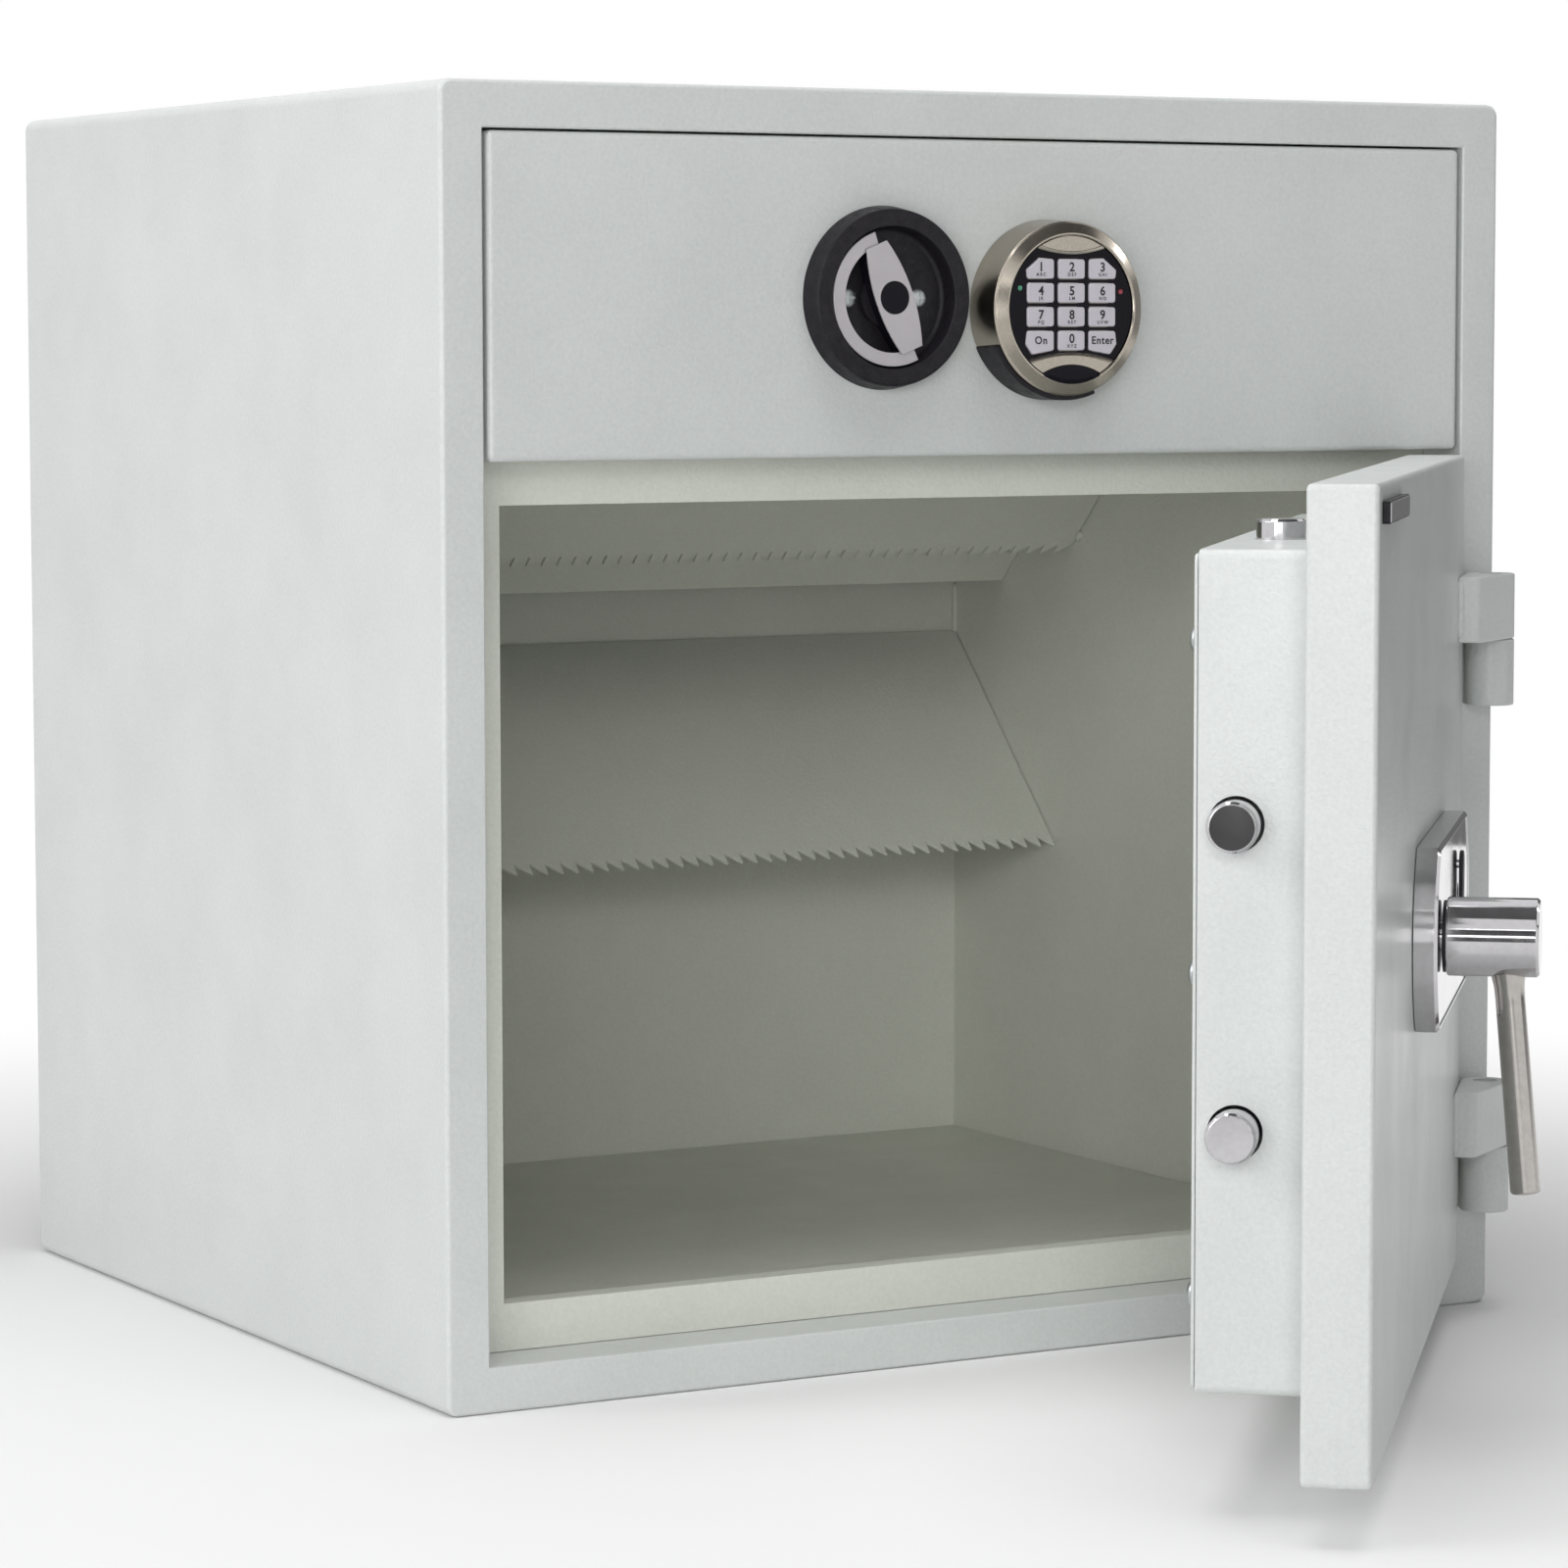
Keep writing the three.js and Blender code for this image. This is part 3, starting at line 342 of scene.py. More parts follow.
def spread(tree, value, low, high):
    """Stretch the middle of a noise over a range of values."""
    made = node(tree, "MapRange")
    for label, source in zip(("From Min", "From Max", "To Min", "To Max"), (*NOISE_MIDDLE, low, high)):
        feed(tree, made.inputs[label], source)
    link(tree, value, made.inputs["Value"])
    return made.outputs["Result"]


def mixed(tree, share, first, second):
    made = node(tree, "Mix", data_type="FLOAT")
    made.inputs["Factor"].default_value = share
    link(tree, first, made.inputs["A"])
    link(tree, second, made.inputs["B"])
    return made.outputs["Result"]


# %% A group for the skin of a finish
SKIN_INPUTS = [("Grain", 800.0), ("Patches", 8.0), ("Smooth", 0.4), ("Dull", 0.5)]
SPECKS_IN_TONE = 0.55


def make_skin():
    """Height of the small bumps, a mask for the tone, and a roughness that drifts."""
    group, entry, leave = new_group("skin", SKIN_INPUTS, ("Height", "Tone", "Gloss"))
    place = node(group, "TexCoord").outputs["Object"]
    fine = noise(group, place, FINE_DETAIL, entry.outputs["Grain"])
    broad = noise(group, place, BROAD_DETAIL, entry.outputs["Patches"])
    specks = spread(group, fine, 0.0, 1.0)
    drift = spread(group, broad, 0.0, 1.0)
    gloss = spread(group, broad, entry.outputs["Smooth"], entry.outputs["Dull"])
    link(group, fine, leave.inputs["Height"])
    link(group, mixed(group, SPECKS_IN_TONE, drift, specks), leave.inputs["Tone"])
    link(group, gloss, leave.inputs["Gloss"])
    return group


skin = make_skin()

# %% A group for lines turned on a lathe
LATHE_INPUTS = [("Centre", None), ("Lines", 2500.0), ("Smooth", 0.2), ("Dull", 0.35)]
CLOUD_SCALE = 60.0
CLOUD_IN_GLOSS = 0.5


def make_turned_lines():
    """Fine rings about an axis that runs from front to back, as a lathe leaves them."""
    group, entry, leave = new_group("turned_lines", LATHE_INPUTS, ("Height", "Gloss"))
    place = node(group, "TexCoord").outputs["Object"]
    arm = node(group, "VectorMath", operation="SUBTRACT")
    link(group, place, arm.inputs[0])
    link(group, entry.outputs["Centre"], arm.inputs[1])
    flat = node(group, "VectorMath", operation="MULTIPLY")
    link(group, arm.outputs["Vector"], flat.inputs[0])
    flat.inputs[1].default_value = (1.0, 0.0, 1.0)
    radius = node(group, "VectorMath", operation="LENGTH")
    link(group, flat.outputs["Vector"], radius.inputs[0])
    depth = node(group, "SeparateXYZ")
    link(group, arm.outputs["Vector"], depth.inputs[0])
    both = node(group, "CombineXYZ")
    link(group, radius.outputs["Value"], both.inputs[0])
    link(group, depth.outputs["Y"], both.inputs[1])
    rings = noise(group, both.outputs[0], LATHE_DETAIL, entry.outputs["Lines"])
    cloud = noise(group, place, LATHE_DETAIL, CLOUD_SCALE)
    cloudy = mixed(group, CLOUD_IN_GLOSS, rings, cloud)
    gloss = spread(group, cloudy, entry.outputs["Smooth"], entry.outputs["Dull"])
    link(group, rings, leave.inputs["Height"])
    link(group, gloss, leave.inputs["Gloss"])
    return group


turned_lines = make_turned_lines()

# %% Make a finish from two tones and a skin
COAT_ROUGHNESS = 0.2


def place_group(tree, group, **values):
    made = tree.nodes.new("ShaderNodeGroup")
    made.node_tree = group
    for socket, value in values.items():
        made.inputs[socket].default_value = value
    return made


def finish(name, tones, smooth, dull, grain, patches, bump, deep, metallic=0.0, coat=0.0, shine=0.5,
           lines=None):
    """tones are the lighter and the darker colour; lines is the centre of lathe lines, if any."""
    material, tree, output = empty_material(name)
    shader = node(tree, "BsdfPrincipled", Metallic=metallic, Coat_Weight=coat,
                  Coat_Roughness=COAT_ROUGHNESS, Specular_IOR_Level=shine)
    surface = place_group(tree, skin, Grain=grain, Patches=patches, Smooth=smooth, Dull=dull)
    tint = node(tree, "Mix", data_type="RGBA")
    link(tree, surface.outputs["Tone"], tint.inputs["Factor"])
    colours = [socket for socket in tint.inputs if socket.type == "RGBA"]
    for socket, tone in zip(colours, tones):
        socket.default_value = (*tone, 1.0)
    result = [socket for socket in tint.outputs if socket.type == "RGBA"][0]
    link(tree, result, shader.inputs["Base Color"])
    relief = place_group(tree, turned_lines, Centre=lines, Smooth=smooth, Dull=dull) if lines else surface
    link(tree, relief.outputs["Gloss"], shader.inputs["Roughness"])
    bumps = node(tree, "Bump", Strength=bump, Distance=MM * deep)
    link(tree, relief.outputs["Height"], bumps.inputs["Height"])
    link(tree, bumps.outputs["Normal"], shader.inputs["Normal"])
    link(tree, shader.outputs[0], output.inputs["Surface"])
    return material


# %% The safe's finishes
PALE = ((0.645, 0.668, 0.658), (0.575, 0.597, 0.587))
# The inside's tones are lighter than PALE: painted light that lifts the shade in the recesses and the
# compartment
INNER_PAINTED_LIGHT = ((0.725, 0.738, 0.672), (0.655, 0.668, 0.602))
CHROME = ((0.60, 0.59, 0.61), (0.54, 0.53, 0.54))
SATIN = ((0.44, 0.40, 0.345), (0.37, 0.335, 0.285))
STEEL = ((0.50, 0.48, 0.455), (0.43, 0.412, 0.39))
ZINC = ((0.52, 0.54, 0.55), (0.40, 0.42, 0.43))
BLACK = ((0.020, 0.018, 0.022), (0.006, 0.005, 0.008))
GLOSSY_BLACK = ((0.007, 0.006, 0.010), (0.004, 0.004, 0.007))
KEYS = ((0.600, 0.570, 0.625), (0.560, 0.530, 0.585))
SILVER = ((0.500, 0.475, 0.495), (0.440, 0.415, 0.435))
INK = ((0.016, 0.014, 0.018), (0.010, 0.009, 0.012))
GREEN = ((0.060, 0.300, 0.180), (0.040, 0.240, 0.140))
RED = ((0.300, 0.030, 0.045), (0.240, 0.020, 0.035))
PAINTED = {"grain": 520.0, "patches": 14.0, "bump": 0.8, "deep": 0.35}
POLISHED = {"metallic": 1.0, "grain": 300.0, "patches": 30.0, "bump": 0.03, "deep": 0.05}
CLEAR = {"grain": 900.0, "patches": 300.0, "bump": 0.05, "deep": 0.02, "coat": 0.5}
# Name, tones, least and most roughness, and what else differs
FINISH_LIST = [
    ("body_paint", PALE, 0.28, 0.42, {**PAINTED, "coat": 0.2}),
    ("inner_paint", INNER_PAINTED_LIGHT, 0.34, 0.50, PAINTED),
    ("chrome", CHROME, 0.05, 0.12, POLISHED),
    ("lever_steel", STEEL, 0.12, 0.22, POLISHED),
    ("zinc", ZINC, 0.28, 0.42,
     {"metallic": 1.0, "grain": 500.0, "patches": 60.0, "bump": 0.10, "deep": 0.05}),
    ("black_plastic", BLACK, 0.34, 0.52,
     {"grain": 1100.0, "patches": 200.0, "bump": 0.7, "deep": 0.12, "shine": 0.22}),
    ("key_plastic", KEYS, 0.35, 0.45, {"grain": 2500.0, "patches": 90.0, "bump": 0.10, "deep": 0.03}),
    ("silver_plastic", SILVER, 0.30, 0.38,
     {"metallic": 0.35, "grain": 2500.0, "patches": 60.0, "bump": 0.08, "deep": 0.03}),
    ("gloss_black", GLOSSY_BLACK, 0.10, 0.18,
     {"grain": 700.0, "patches": 80.0, "bump": 0.03, "deep": 0.05, "shine": 0.12}),
    ("key_ink", INK, 0.40, 0.50, {"grain": 2500.0, "patches": 90.0, "bump": 0.05, "deep": 0.02}),
    ("green_lens", GREEN, 0.10, 0.20, CLEAR),
    ("red_lens", RED, 0.10, 0.20, CLEAR),
]
FINISHES = {}
for name, tones, smooth, dull, more in FINISH_LIST:
    FINISHES[name] = finish(name, tones, smooth, dull, **more)
print(len(FINISHES), "finishes")

# %% [markdown]
# ## Measuring and making pieces
#
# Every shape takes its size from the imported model, so a piece lies where its solid lies. Lengths
# are written in millimetres and turned into metres at the end. The door stands open, but it is
# easier to draw shut: its pieces are drawn in the shut place and then swung with the hinge.

# %% The door's swing and the sizes of solids
SEAT = 0.3
DOOR_BODIES = ("door", "door_handle", "side_bolts", "lifting_bolt", "keyhole_flap")
hinge = next(joint for joint in frame["joints"] if joint["name"] == "door_hinge")
HINGE_PLACE = Vector(hinge["pos_m"])
DOOR_OPEN = math.radians(-hinge["range_deg"][0])
door_turn = (Matrix.Translation(HINGE_PLACE) @ Matrix.Rotation(DOOR_OPEN, 4, "Z")
             @ Matrix.Translation(-HINGE_PLACE))
door_shut = door_turn.inverted()
body_of = {name: piece["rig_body"] for name, piece in frame["nodes"].items()}
slot_of = {entry["node"]: entry["material_slot"] for entry in frame["record"]["subparts"]}


def span(name):
    """Lowest and highest corner of a solid in millimetres, with the door shut."""
    turn = door_shut if body_of[name] in DOOR_BODIES else Matrix.Identity(4)
    points = [turn @ vertex.co for vertex in frame["nodes"][name].data.vertices]
    low = Vector([min(point[i] for point in points) for i in range(3)])
    high = Vector([max(point[i] for point in points) for i in range(3)])
    return low / MM, high / MM


def middle(name, axes):
    """Where the middle of a solid lies across two axes."""
    low, high = span(name)
    return tuple((getattr(low, axis) + getattr(high, axis)) / 2 for axis in axes)


FRONT = span("casing_shell")[0].y
print("front face at", round(FRONT, 1), "door open", round(math.degrees(DOOR_OPEN), 1), "degrees")


# %% Outlines and profiles with rounded corners
LEAST_BEND = 0.8
BEND_STEPS = 4


def rounded(corners, closed=True, inset=0.0, steps=BEND_STEPS):
    """Round each corner (a, b, radius) of a line, and move a closed one inwards by an inset."""
    places = [complex(corner[0], corner[1]) for corner in corners]
    bends = [corner[2] if len(corner) > 2 else 0.0 for corner in corners]
    points = []
    for i, (place, bend) in enumerate(zip(places, bends)):
        if not closed and i in (0, len(places) - 1):
            points.append(place)
            continue
        before = place - places[i - 1]
        after = places[(i + 1) % len(places)] - place
        before, after = before / abs(before), after / abs(after)
        turn = cmath.phase(after / before)
        inward = 1j * (before + after) / (1 + (before * after.conjugate()).real)
        corner = place + inward * inset
        if not bend:
            points.append(corner)
            continue
        side = 1 if turn > 0 else -1
        radius = max(bend - side * inset, LEAST_BEND) if closed else bend
        start = corner - before * radius * math.tan(abs(turn) / 2)
        centre = start + 1j * side * before * radius
        points += [centre + (start - centre) * cmath.exp(1j * turn * k / steps) for k in range(steps + 1)]
    return [(point.real, point.imag) for point in points]


def profile(*corners, steps=BEND_STEPS):
    """An open line of (distance, place, radius), its corners rounded."""
    return rounded(corners, closed=False, steps=steps)


def arc(centre, radius, start, end, steps):
    """Points on an arc, with the angles in degrees."""
    angles = [math.radians(start + (end - start) * k / steps) for k in range(steps + 1)]
    return [(centre[0] + radius * math.cos(t), centre[1] + radius * math.sin(t)) for t in angles]


def rectangle(low, high, bend=0.0):
    """The four corners between two opposite ones."""
    (a0, b0), (a1, b1) = low, high
    return [(a0, b0, bend), (a1, b0, bend), (a1, b1, bend), (a0, b1, bend)]


# %% Solids from outlines and profiles
ON_AXIS = 0.001
RIM_REACH = 1.0
# Flat sides of a round, from the widest pieces to the narrowest holes
WIDE_SIDES = 144
ROUND_SIDES = 96
SLIM_SIDES = 64
HOLE_SIDES = 48
SMALL_SIDES = 40
LIGHT_SIDES = 32
SCREW_HOLE_SIDES = 24


def at(axis, a, b, depth):
    return {"x": (depth, a, b), "y": (a, depth, b), "z": (a, b, depth)}[axis]


def bridge(bm, near, far):
    """Join two rings of points; a ring may be a single point."""
    count = max(len(near), len(far))
    for k in range(count):
        m = (k + 1) % count
        corners = [near[k % len(near)], near[m % len(near)], far[m % len(far)], far[k % len(far)]]
        face = [v for i, v in enumerate(corners) if v not in corners[:i]]
        if len(face) > 2:
            bm.faces.new(face)


def joined_rings(rings, ring_of_rings=False):
    """A closed solid through a row of rings of points."""
    bm = bmesh.new()
    made = [[bm.verts.new(point) for point in ring] for ring in rings]
    for near, far in zip(made, made[1:]):
        bridge(bm, near, far)
    if ring_of_rings:
        bridge(bm, made[-1], made[0])
    else:
        for ring in (made[0], made[-1]):
            if len(ring) > 2:
                bm.faces.new(ring)
    bmesh.ops.recalc_face_normals(bm, faces=bm.faces)
    return bm


def drawn(corners, path, axis="y", ring_of_rings=False, steps=BEND_STEPS):
    """Draw an outline along an axis, through a profile of (inset, place)."""
    rings = [[at(axis, a, b, place) for a, b in rounded(corners, inset=inset, steps=steps)]
             for inset, place in path]
    return joined_rings(rings, ring_of_rings)


def turned(path, axis, centre, sides=ROUND_SIDES, ring_of_rings=False):
    """Spin a profile of (radius, place) about an axis, as on a lathe."""
    turns = [2 * math.pi * k / sides for k in range(sides)]
    rings = []
    for radius, place in path:
        if radius < ON_AXIS:
            rings.append([at(axis, *centre, place)])
        else:
            ring = [(centre[0] + radius * math.cos(t), centre[1] + radius * math.sin(t)) for t in turns]
            rings.append([at(axis, a, b, place) for a, b in ring])
    return joined_rings(rings, ring_of_rings)


def soft_slab(corners, near, far, edge, axis="y", steps=BEND_STEPS):
    """An outline drawn from near to far, with both its rims rounded."""
    inner = edge + RIM_REACH
    path = profile((inner, near), (0.0, near, edge), (0.0, far, edge), (inner, far))
    return drawn(corners, path, axis, steps=steps)


# %% Cutting, copying and bevelling
OVERRUN = 1.0
MERGE_WITHIN = 0.01
FLAT_ANGLE = 1.0
SHARP_ANGLE = 20.0
EVEN_ROUND = 0.5


def loose(bm):
    mesh = bpy.data.meshes.new("loose")
    bm.to_mesh(mesh)
    bm.free()
    return place_in_scene("loose", mesh)


def cut(bm, *cutters):
    """Take other solids out of a solid with boolean modifiers."""
    main = loose(bm)
    others = [loose(cutter) for cutter in cutters]
    for other in others:
        step = main.modifiers.new("step", "BOOLEAN")
        step.operation = "DIFFERENCE"
        step.solver = "EXACT"
        step.object = other
    result = bmesh.new()
    result.from_object(main, bpy.context.evaluated_depsgraph_get())
    for thing in [main, *others]:
        mesh = thing.data
        bpy.data.objects.remove(thing)
        bpy.data.meshes.remove(mesh)
    return result


def hole(axis, centre, radius, near, far, sides=HOLE_SIDES):
    return turned([(0.0, near), (radius, near), (radius, far), (0.0, far)], axis, centre, sides)


def drilled(bm, low, high, holes, axis="y", sides=HOLE_SIDES):
    """Cut round holes of (centre, radius) right through along an axis."""
    near, far = getattr(low, axis) - OVERRUN, getattr(high, axis) + OVERRUN
    return cut(bm, *[hole(axis, centre, radius, near, far, sides) for centre, radius in holes])


def copy_of(name):
    """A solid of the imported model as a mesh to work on, with its flat faces made whole."""
    bm = bmesh.new()
    bm.from_mesh(frame["nodes"][name].data)
    if body_of[name] in DOOR_BODIES:
        bmesh.ops.transform(bm, matrix=door_shut, verts=bm.verts)
    bmesh.ops.scale(bm, vec=(1 / MM, 1 / MM, 1 / MM), verts=bm.verts)
    bmesh.ops.remove_doubles(bm, verts=bm.verts, dist=MERGE_WITHIN)
    bmesh.ops.dissolve_limit(bm, angle_limit=math.radians(FLAT_ANGLE), verts=bm.verts, edges=bm.edges)
    return bm


def bevelled(bm, width, steps=2, chosen=lambda edge: True):
    """Round the sharp edges that the choice names."""
    sharp = math.radians(SHARP_ANGLE)
    edges = [e for e in bm.edges if e.is_manifold and e.calc_face_angle() > sharp and chosen(e)]
    bmesh.ops.bevel(bm, geom=edges, offset=width, offset_type="OFFSET", segments=steps, profile=EVEN_ROUND,
                    affect="EDGES", clamp_overlap=True)
    return bm


# %% Finish a piece
SHADING_ANGLE = 32.0
made_pieces = []


def make(name, bm, body, slot, look=None, stands_for=None, sharp=SHADING_ANGLE):
    """Turn millimetres into metres, swing the door's pieces open, and give the piece to its body."""
    mesh = bpy.data.meshes.new(name)
    bmesh.ops.recalc_face_normals(bm, faces=bm.faces)
    bm.to_mesh(mesh)
    bm.free()
    mesh.transform(Matrix.Scale(MM, 4))
    if body in DOOR_BODIES:
        mesh.transform(door_turn)
    mesh.polygons.foreach_set("use_smooth", [True] * len(mesh.polygons))
    mesh.set_sharp_from_angle(angle=math.radians(sharp))
    mesh.materials.append(FINISHES[look or slot])
    piece = place_in_scene(name, mesh)
    even = piece.modifiers.new("even_shading", "WEIGHTED_NORMAL")
    even.keep_sharp = True
    print(name, "on", body)
    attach(piece, body)
    if stands_for:
        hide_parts(stands_for)
    made_pieces.append(piece)
    return piece


def dress(solid, name, bm, look=None):
    """Make a piece in place of a solid, on its body, with its slot's finish unless a look is given."""
    return make(name, bm, body_of[solid], slot_of[solid], look, solid)


# %% [markdown]
# ## The casing
#
# The body is a shell of folded steel: its long edges are bends of a few millimetres, and the lip
# round the front is the folded end of the walls. One rounded rectangle is drawn from the back
# panel along the outside, round the lip and back along the inside, so the shell is one closed
# sheet with real thickness. A thin groove shows where the back panel is set in. The faces behind
# the front sheet take the finish of the inside, whose tones are lighter than the body paint's:
# painted light that lifts the shade inside the compartment.

# %% The shell
FOLD = 6.0
FOLD_STEPS = 6
LIP_EDGE = 2.4
INNER_EDGE = 1.2
PANEL_GROOVE = 12.0
GROOVE_HALF = 1.0
GROOVE_DEPTH = 0.8
BEHIND_SHEET = 1.0
NEAR_WALL = 0.1


def make_shell():
    low, high = span("casing_shell")
    floor_high = span("compartment_floor")[1]
    wall = high.x - floor_high.x - SEAT
    inner_back = floor_high.y + SEAT
    sheet = span("inner_frame")[0].y
    path = profile(
        (PANEL_GROOVE + 2 * GROOVE_HALF, high.y),
        (PANEL_GROOVE + GROOVE_HALF, high.y - GROOVE_DEPTH),
        (PANEL_GROOVE, high.y),
        (0.0, high.y, LIP_EDGE),
        (0.0, low.y, LIP_EDGE),
        (wall, low.y, INNER_EDGE),
        (wall, sheet + BEHIND_SHEET),
        (wall, inner_back),
    )
    piece = dress("casing_shell", "shell", drawn(rectangle(low.xz, high.xz, FOLD), path, steps=FOLD_STEPS))
    # The faces inside take the inside paint, which is lighter than the body paint: painted light against
    # the shade inside
    piece.data.materials.append(FINISHES["inner_paint"])
    across = high.x - wall + NEAR_WALL
    bottom, top = low.z + wall - NEAR_WALL, high.z - wall + NEAR_WALL
    for face in piece.data.polygons:
        x, y, z = face.center / MM
        inside = abs(x) < across and bottom < z < top and sheet < y < inner_back + NEAR_WALL
        face.material_index = int(inside)
    print("walls", round(wall, 1), "mm thick")


make_shell()

# %% [markdown]
# The front sheet sits back inside the lip. It is one folded sheet: round the door's opening it
# turns inwards in a soft bend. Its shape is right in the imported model, so the solid is copied and
# only its folds are rounded. The compartment's floor plate is copied in the same way.

# %% The front sheet and the floor
FRAME_FOLD = 1.8
FRAME_STEPS = 4
FRAME_END = 1.0
FLOOR_EDGE = 1.0


def make_inner_frame():
    low, high = span("inner_frame")

    def front_fold(edge):
        points = [vertex.co for vertex in edge.verts]
        return all(abs(p.y - low.y) < MERGE_WITHIN and low.x + FRAME_END < p.x < high.x - FRAME_END
                   for p in points)

    sheet = bevelled(copy_of("inner_frame"), FRAME_FOLD, FRAME_STEPS, front_fold)
    dress("inner_frame", "front_sheet", sheet)


make_inner_frame()
dress("compartment_floor", "floor_plate", bevelled(copy_of("compartment_floor"), FLOOR_EDGE))

# %% [markdown]
# ## The chute
#
# Behind the drawer its floor sheet bends down into the compartment, and two toothed plates reach
# into the gap, so that nothing can be fished out. They are cut from thin sheet: the copies keep
# every tooth and only lose their razor edges. Spots of weld hold the plates to the walls.

# %% The sheet and the toothed plates
SHEET_BEND = 5.0
SHEET_STEPS = 5
BEND_LEAST, BEND_MOST = 0.5, 1.1
SHEET_EDGE = 0.25


def make_chute():
    def bend(edge):
        return BEND_LEAST < edge.calc_face_angle() < BEND_MOST

    dress("chute_shelf", "chute_sheet", bevelled(copy_of("chute_shelf"), SHEET_BEND, SHEET_STEPS, bend))
    for name in ("front_saw_plate", "rear_saw_plate"):
        dress(name, name.replace("saw", "toothed"), bevelled(copy_of(name), SHEET_EDGE, 1))


make_chute()

# %% Weld beads
BEAD_SIDES = 12
BEAD_STEP = 0.5
BEAD_LEAST_RINGS = 6
BEAD_THIN = 0.82
BEAD_RIPPLE = 0.18
BEAD_BEAT = 0.45
BEAD_LUMP = 0.04
BEAD_END = 3
BEAD_TIP = 0.15
BEAD_SHADING = 80.0


def weld_bead(name, start, end, radius, body, slot, seed):
    """A bead of weld from one place to another: a lumpy tube with rounded ends."""
    draw = random.Random(seed)
    start, end = Vector(start), Vector(end)
    length = (end - start).length
    along = (end - start) / length
    across = along.orthogonal().normalized()
    upward = along.cross(across)
    count = max(BEAD_LEAST_RINGS, int(length / (radius * BEAD_STEP)))
    turns = [2 * math.pi * k / BEAD_SIDES for k in range(BEAD_SIDES)]
    rings = []
    for i in range(count + 1):
        share = i / count
        ripple = BEAD_THIN + BEAD_RIPPLE * abs(math.sin(math.pi * i * BEAD_BEAT))
        ripple += draw.uniform(-BEAD_LUMP, BEAD_LUMP)
        reach = min(1.0, share * count / BEAD_END + BEAD_TIP, (1 - share) * count / BEAD_END + BEAD_TIP)
        size = radius * ripple * math.sqrt(reach)
        centre = start + along * length * share
        rings.append([centre + across * size * math.cos(t) + upward * size * math.sin(t) for t in turns])
    return make(name, joined_rings(rings), body, slot, sharp=BEAD_SHADING)


# %% Spots of weld in the chute
# Name, depth and height of both ends, radius
CHUTE_WELDS = [
    ("weld_spot", (359.0, 391.0), (364.0, 386.0), 2.4),
    ("corner_bead", (499.0, 326.0), (499.0, 356.0), 1.8),
]


def weld_the_chute():
    wall = span("compartment_floor")[1].x
    seed = 0
    for name, start, end, radius in CHUTE_WELDS:
        for side, x in (("right", wall), ("left", -wall)):
            ends = [(x, FRONT + depth, height) for depth, height in (start, end)]
            weld_bead(name + "_" + side, *ends, radius, "casing", "inner_paint", seed)
            seed += 1
    print(seed, "welds in the chute")


weld_the_chute()

# %% [markdown]
# ## The door
#
# The door is a thick plate with rounded edges and a shallow box on its back that holds the bolt
# work. The box is folded from thinner sheet, so its corners are soft bends, and a screwed cover
# closes it. The bolts come out through round holes with a little play.

# %% The plate
DOOR_EDGE = 2.4
DOOR_CORNER = 3.0
SPINDLE_HOLE = 7.3
KEY_HOLE = 5.0
KEY_ABOVE_HUB = 8.0
HUB_AT = middle("handle_hub", "xz")
KEY_AT = (middle("keyhole_cover", "x")[0], HUB_AT[1] + KEY_ABOVE_HUB)


def thick_plate(solid, name, holes):
    """The plate of the door or of the drawer, with soft rims and its holes right through."""
    low, high = span(solid)
    plate = soft_slab(rectangle(low.xz, high.xz, DOOR_CORNER), low.y, high.y, DOOR_EDGE)
    dress(solid, name, drilled(plate, low, high, holes))
    print(name, [round(v) for v in high - low], "mm")


thick_plate("door_plate", "door_skin", [(HUB_AT, SPINDLE_HOLE), (KEY_AT, KEY_HOLE)])

# %% The box behind the door
BOX_BEND = 4.0
BOX_STEPS = 5
BOX_WALL = 2.5
BOX_FLANGE = 14.0
BOX_FOLD, BOX_INNER_FOLD = 0.9, 1.0
BOLT_HOLE = 11.9
TOP_BAND = 0.5
SIDE_BOLTS = ("lower_side_bolt", "upper_side_bolt")


def top_bolt_centre():
    """The stem is the only part of the top bolt that reaches its highest point."""
    points = [door_shut @ vertex.co / MM for vertex in frame["nodes"]["top_bolt"].data.vertices]
    top = max(point.z for point in points)
    rim = [point for point in points if point.z > top - TOP_BAND]
    return (sum(p.x for p in rim) / len(rim), sum(p.y for p in rim) / len(rim))


def make_box():
    low, high = span("bolt_box")
    path = profile(
        (0.0, low.y),
        (0.0, high.y, BOX_FOLD),
        (BOX_FLANGE, high.y),
        (BOX_FLANGE, high.y - BOX_WALL),
        (BOX_WALL, high.y - BOX_WALL, BOX_INNER_FOLD),
        (BOX_WALL, low.y),
    )
    box = drawn(rectangle(low.xz, high.xz, BOX_BEND), path, ring_of_rings=True, steps=BOX_STEPS)
    cutters = [hole("x", middle(name, "yz"), BOLT_HOLE, low.x - OVERRUN, low.x + BOX_WALL + OVERRUN)
               for name in SIDE_BOLTS]
    cutters.append(hole("z", top_bolt_centre(), BOLT_HOLE, high.z - BOX_WALL - OVERRUN, high.z + OVERRUN))
    dress("bolt_box", "bolt_work_box", cut(box, *cutters))


make_box()

# %% The cover and its screws
COVER_BEND = 4.0
COVER_EDGE = 0.5
COVER_LAP = 0.2
COVER_HOLE = 2.3
CROSS_WIDTH, CROSS_LENGTH = 1.3, 6.2
CROSS_HEAD = 5.0
CROSS_FLOOR = 0.35
SCREW_SINK = 1.5
SCREW_NECK = 0.5
DOME_STEP = 15


def dome(radius, base, rise, first=0):
    """A quarter of a round from the rim at the base up to the top on the axis."""
    turns = [math.radians(DOME_STEP * k) for k in range(first, 90 // DOME_STEP)]
    return [(radius * math.cos(t), base + rise * math.sin(t)) for t in turns] + [(0.0, base + rise)]


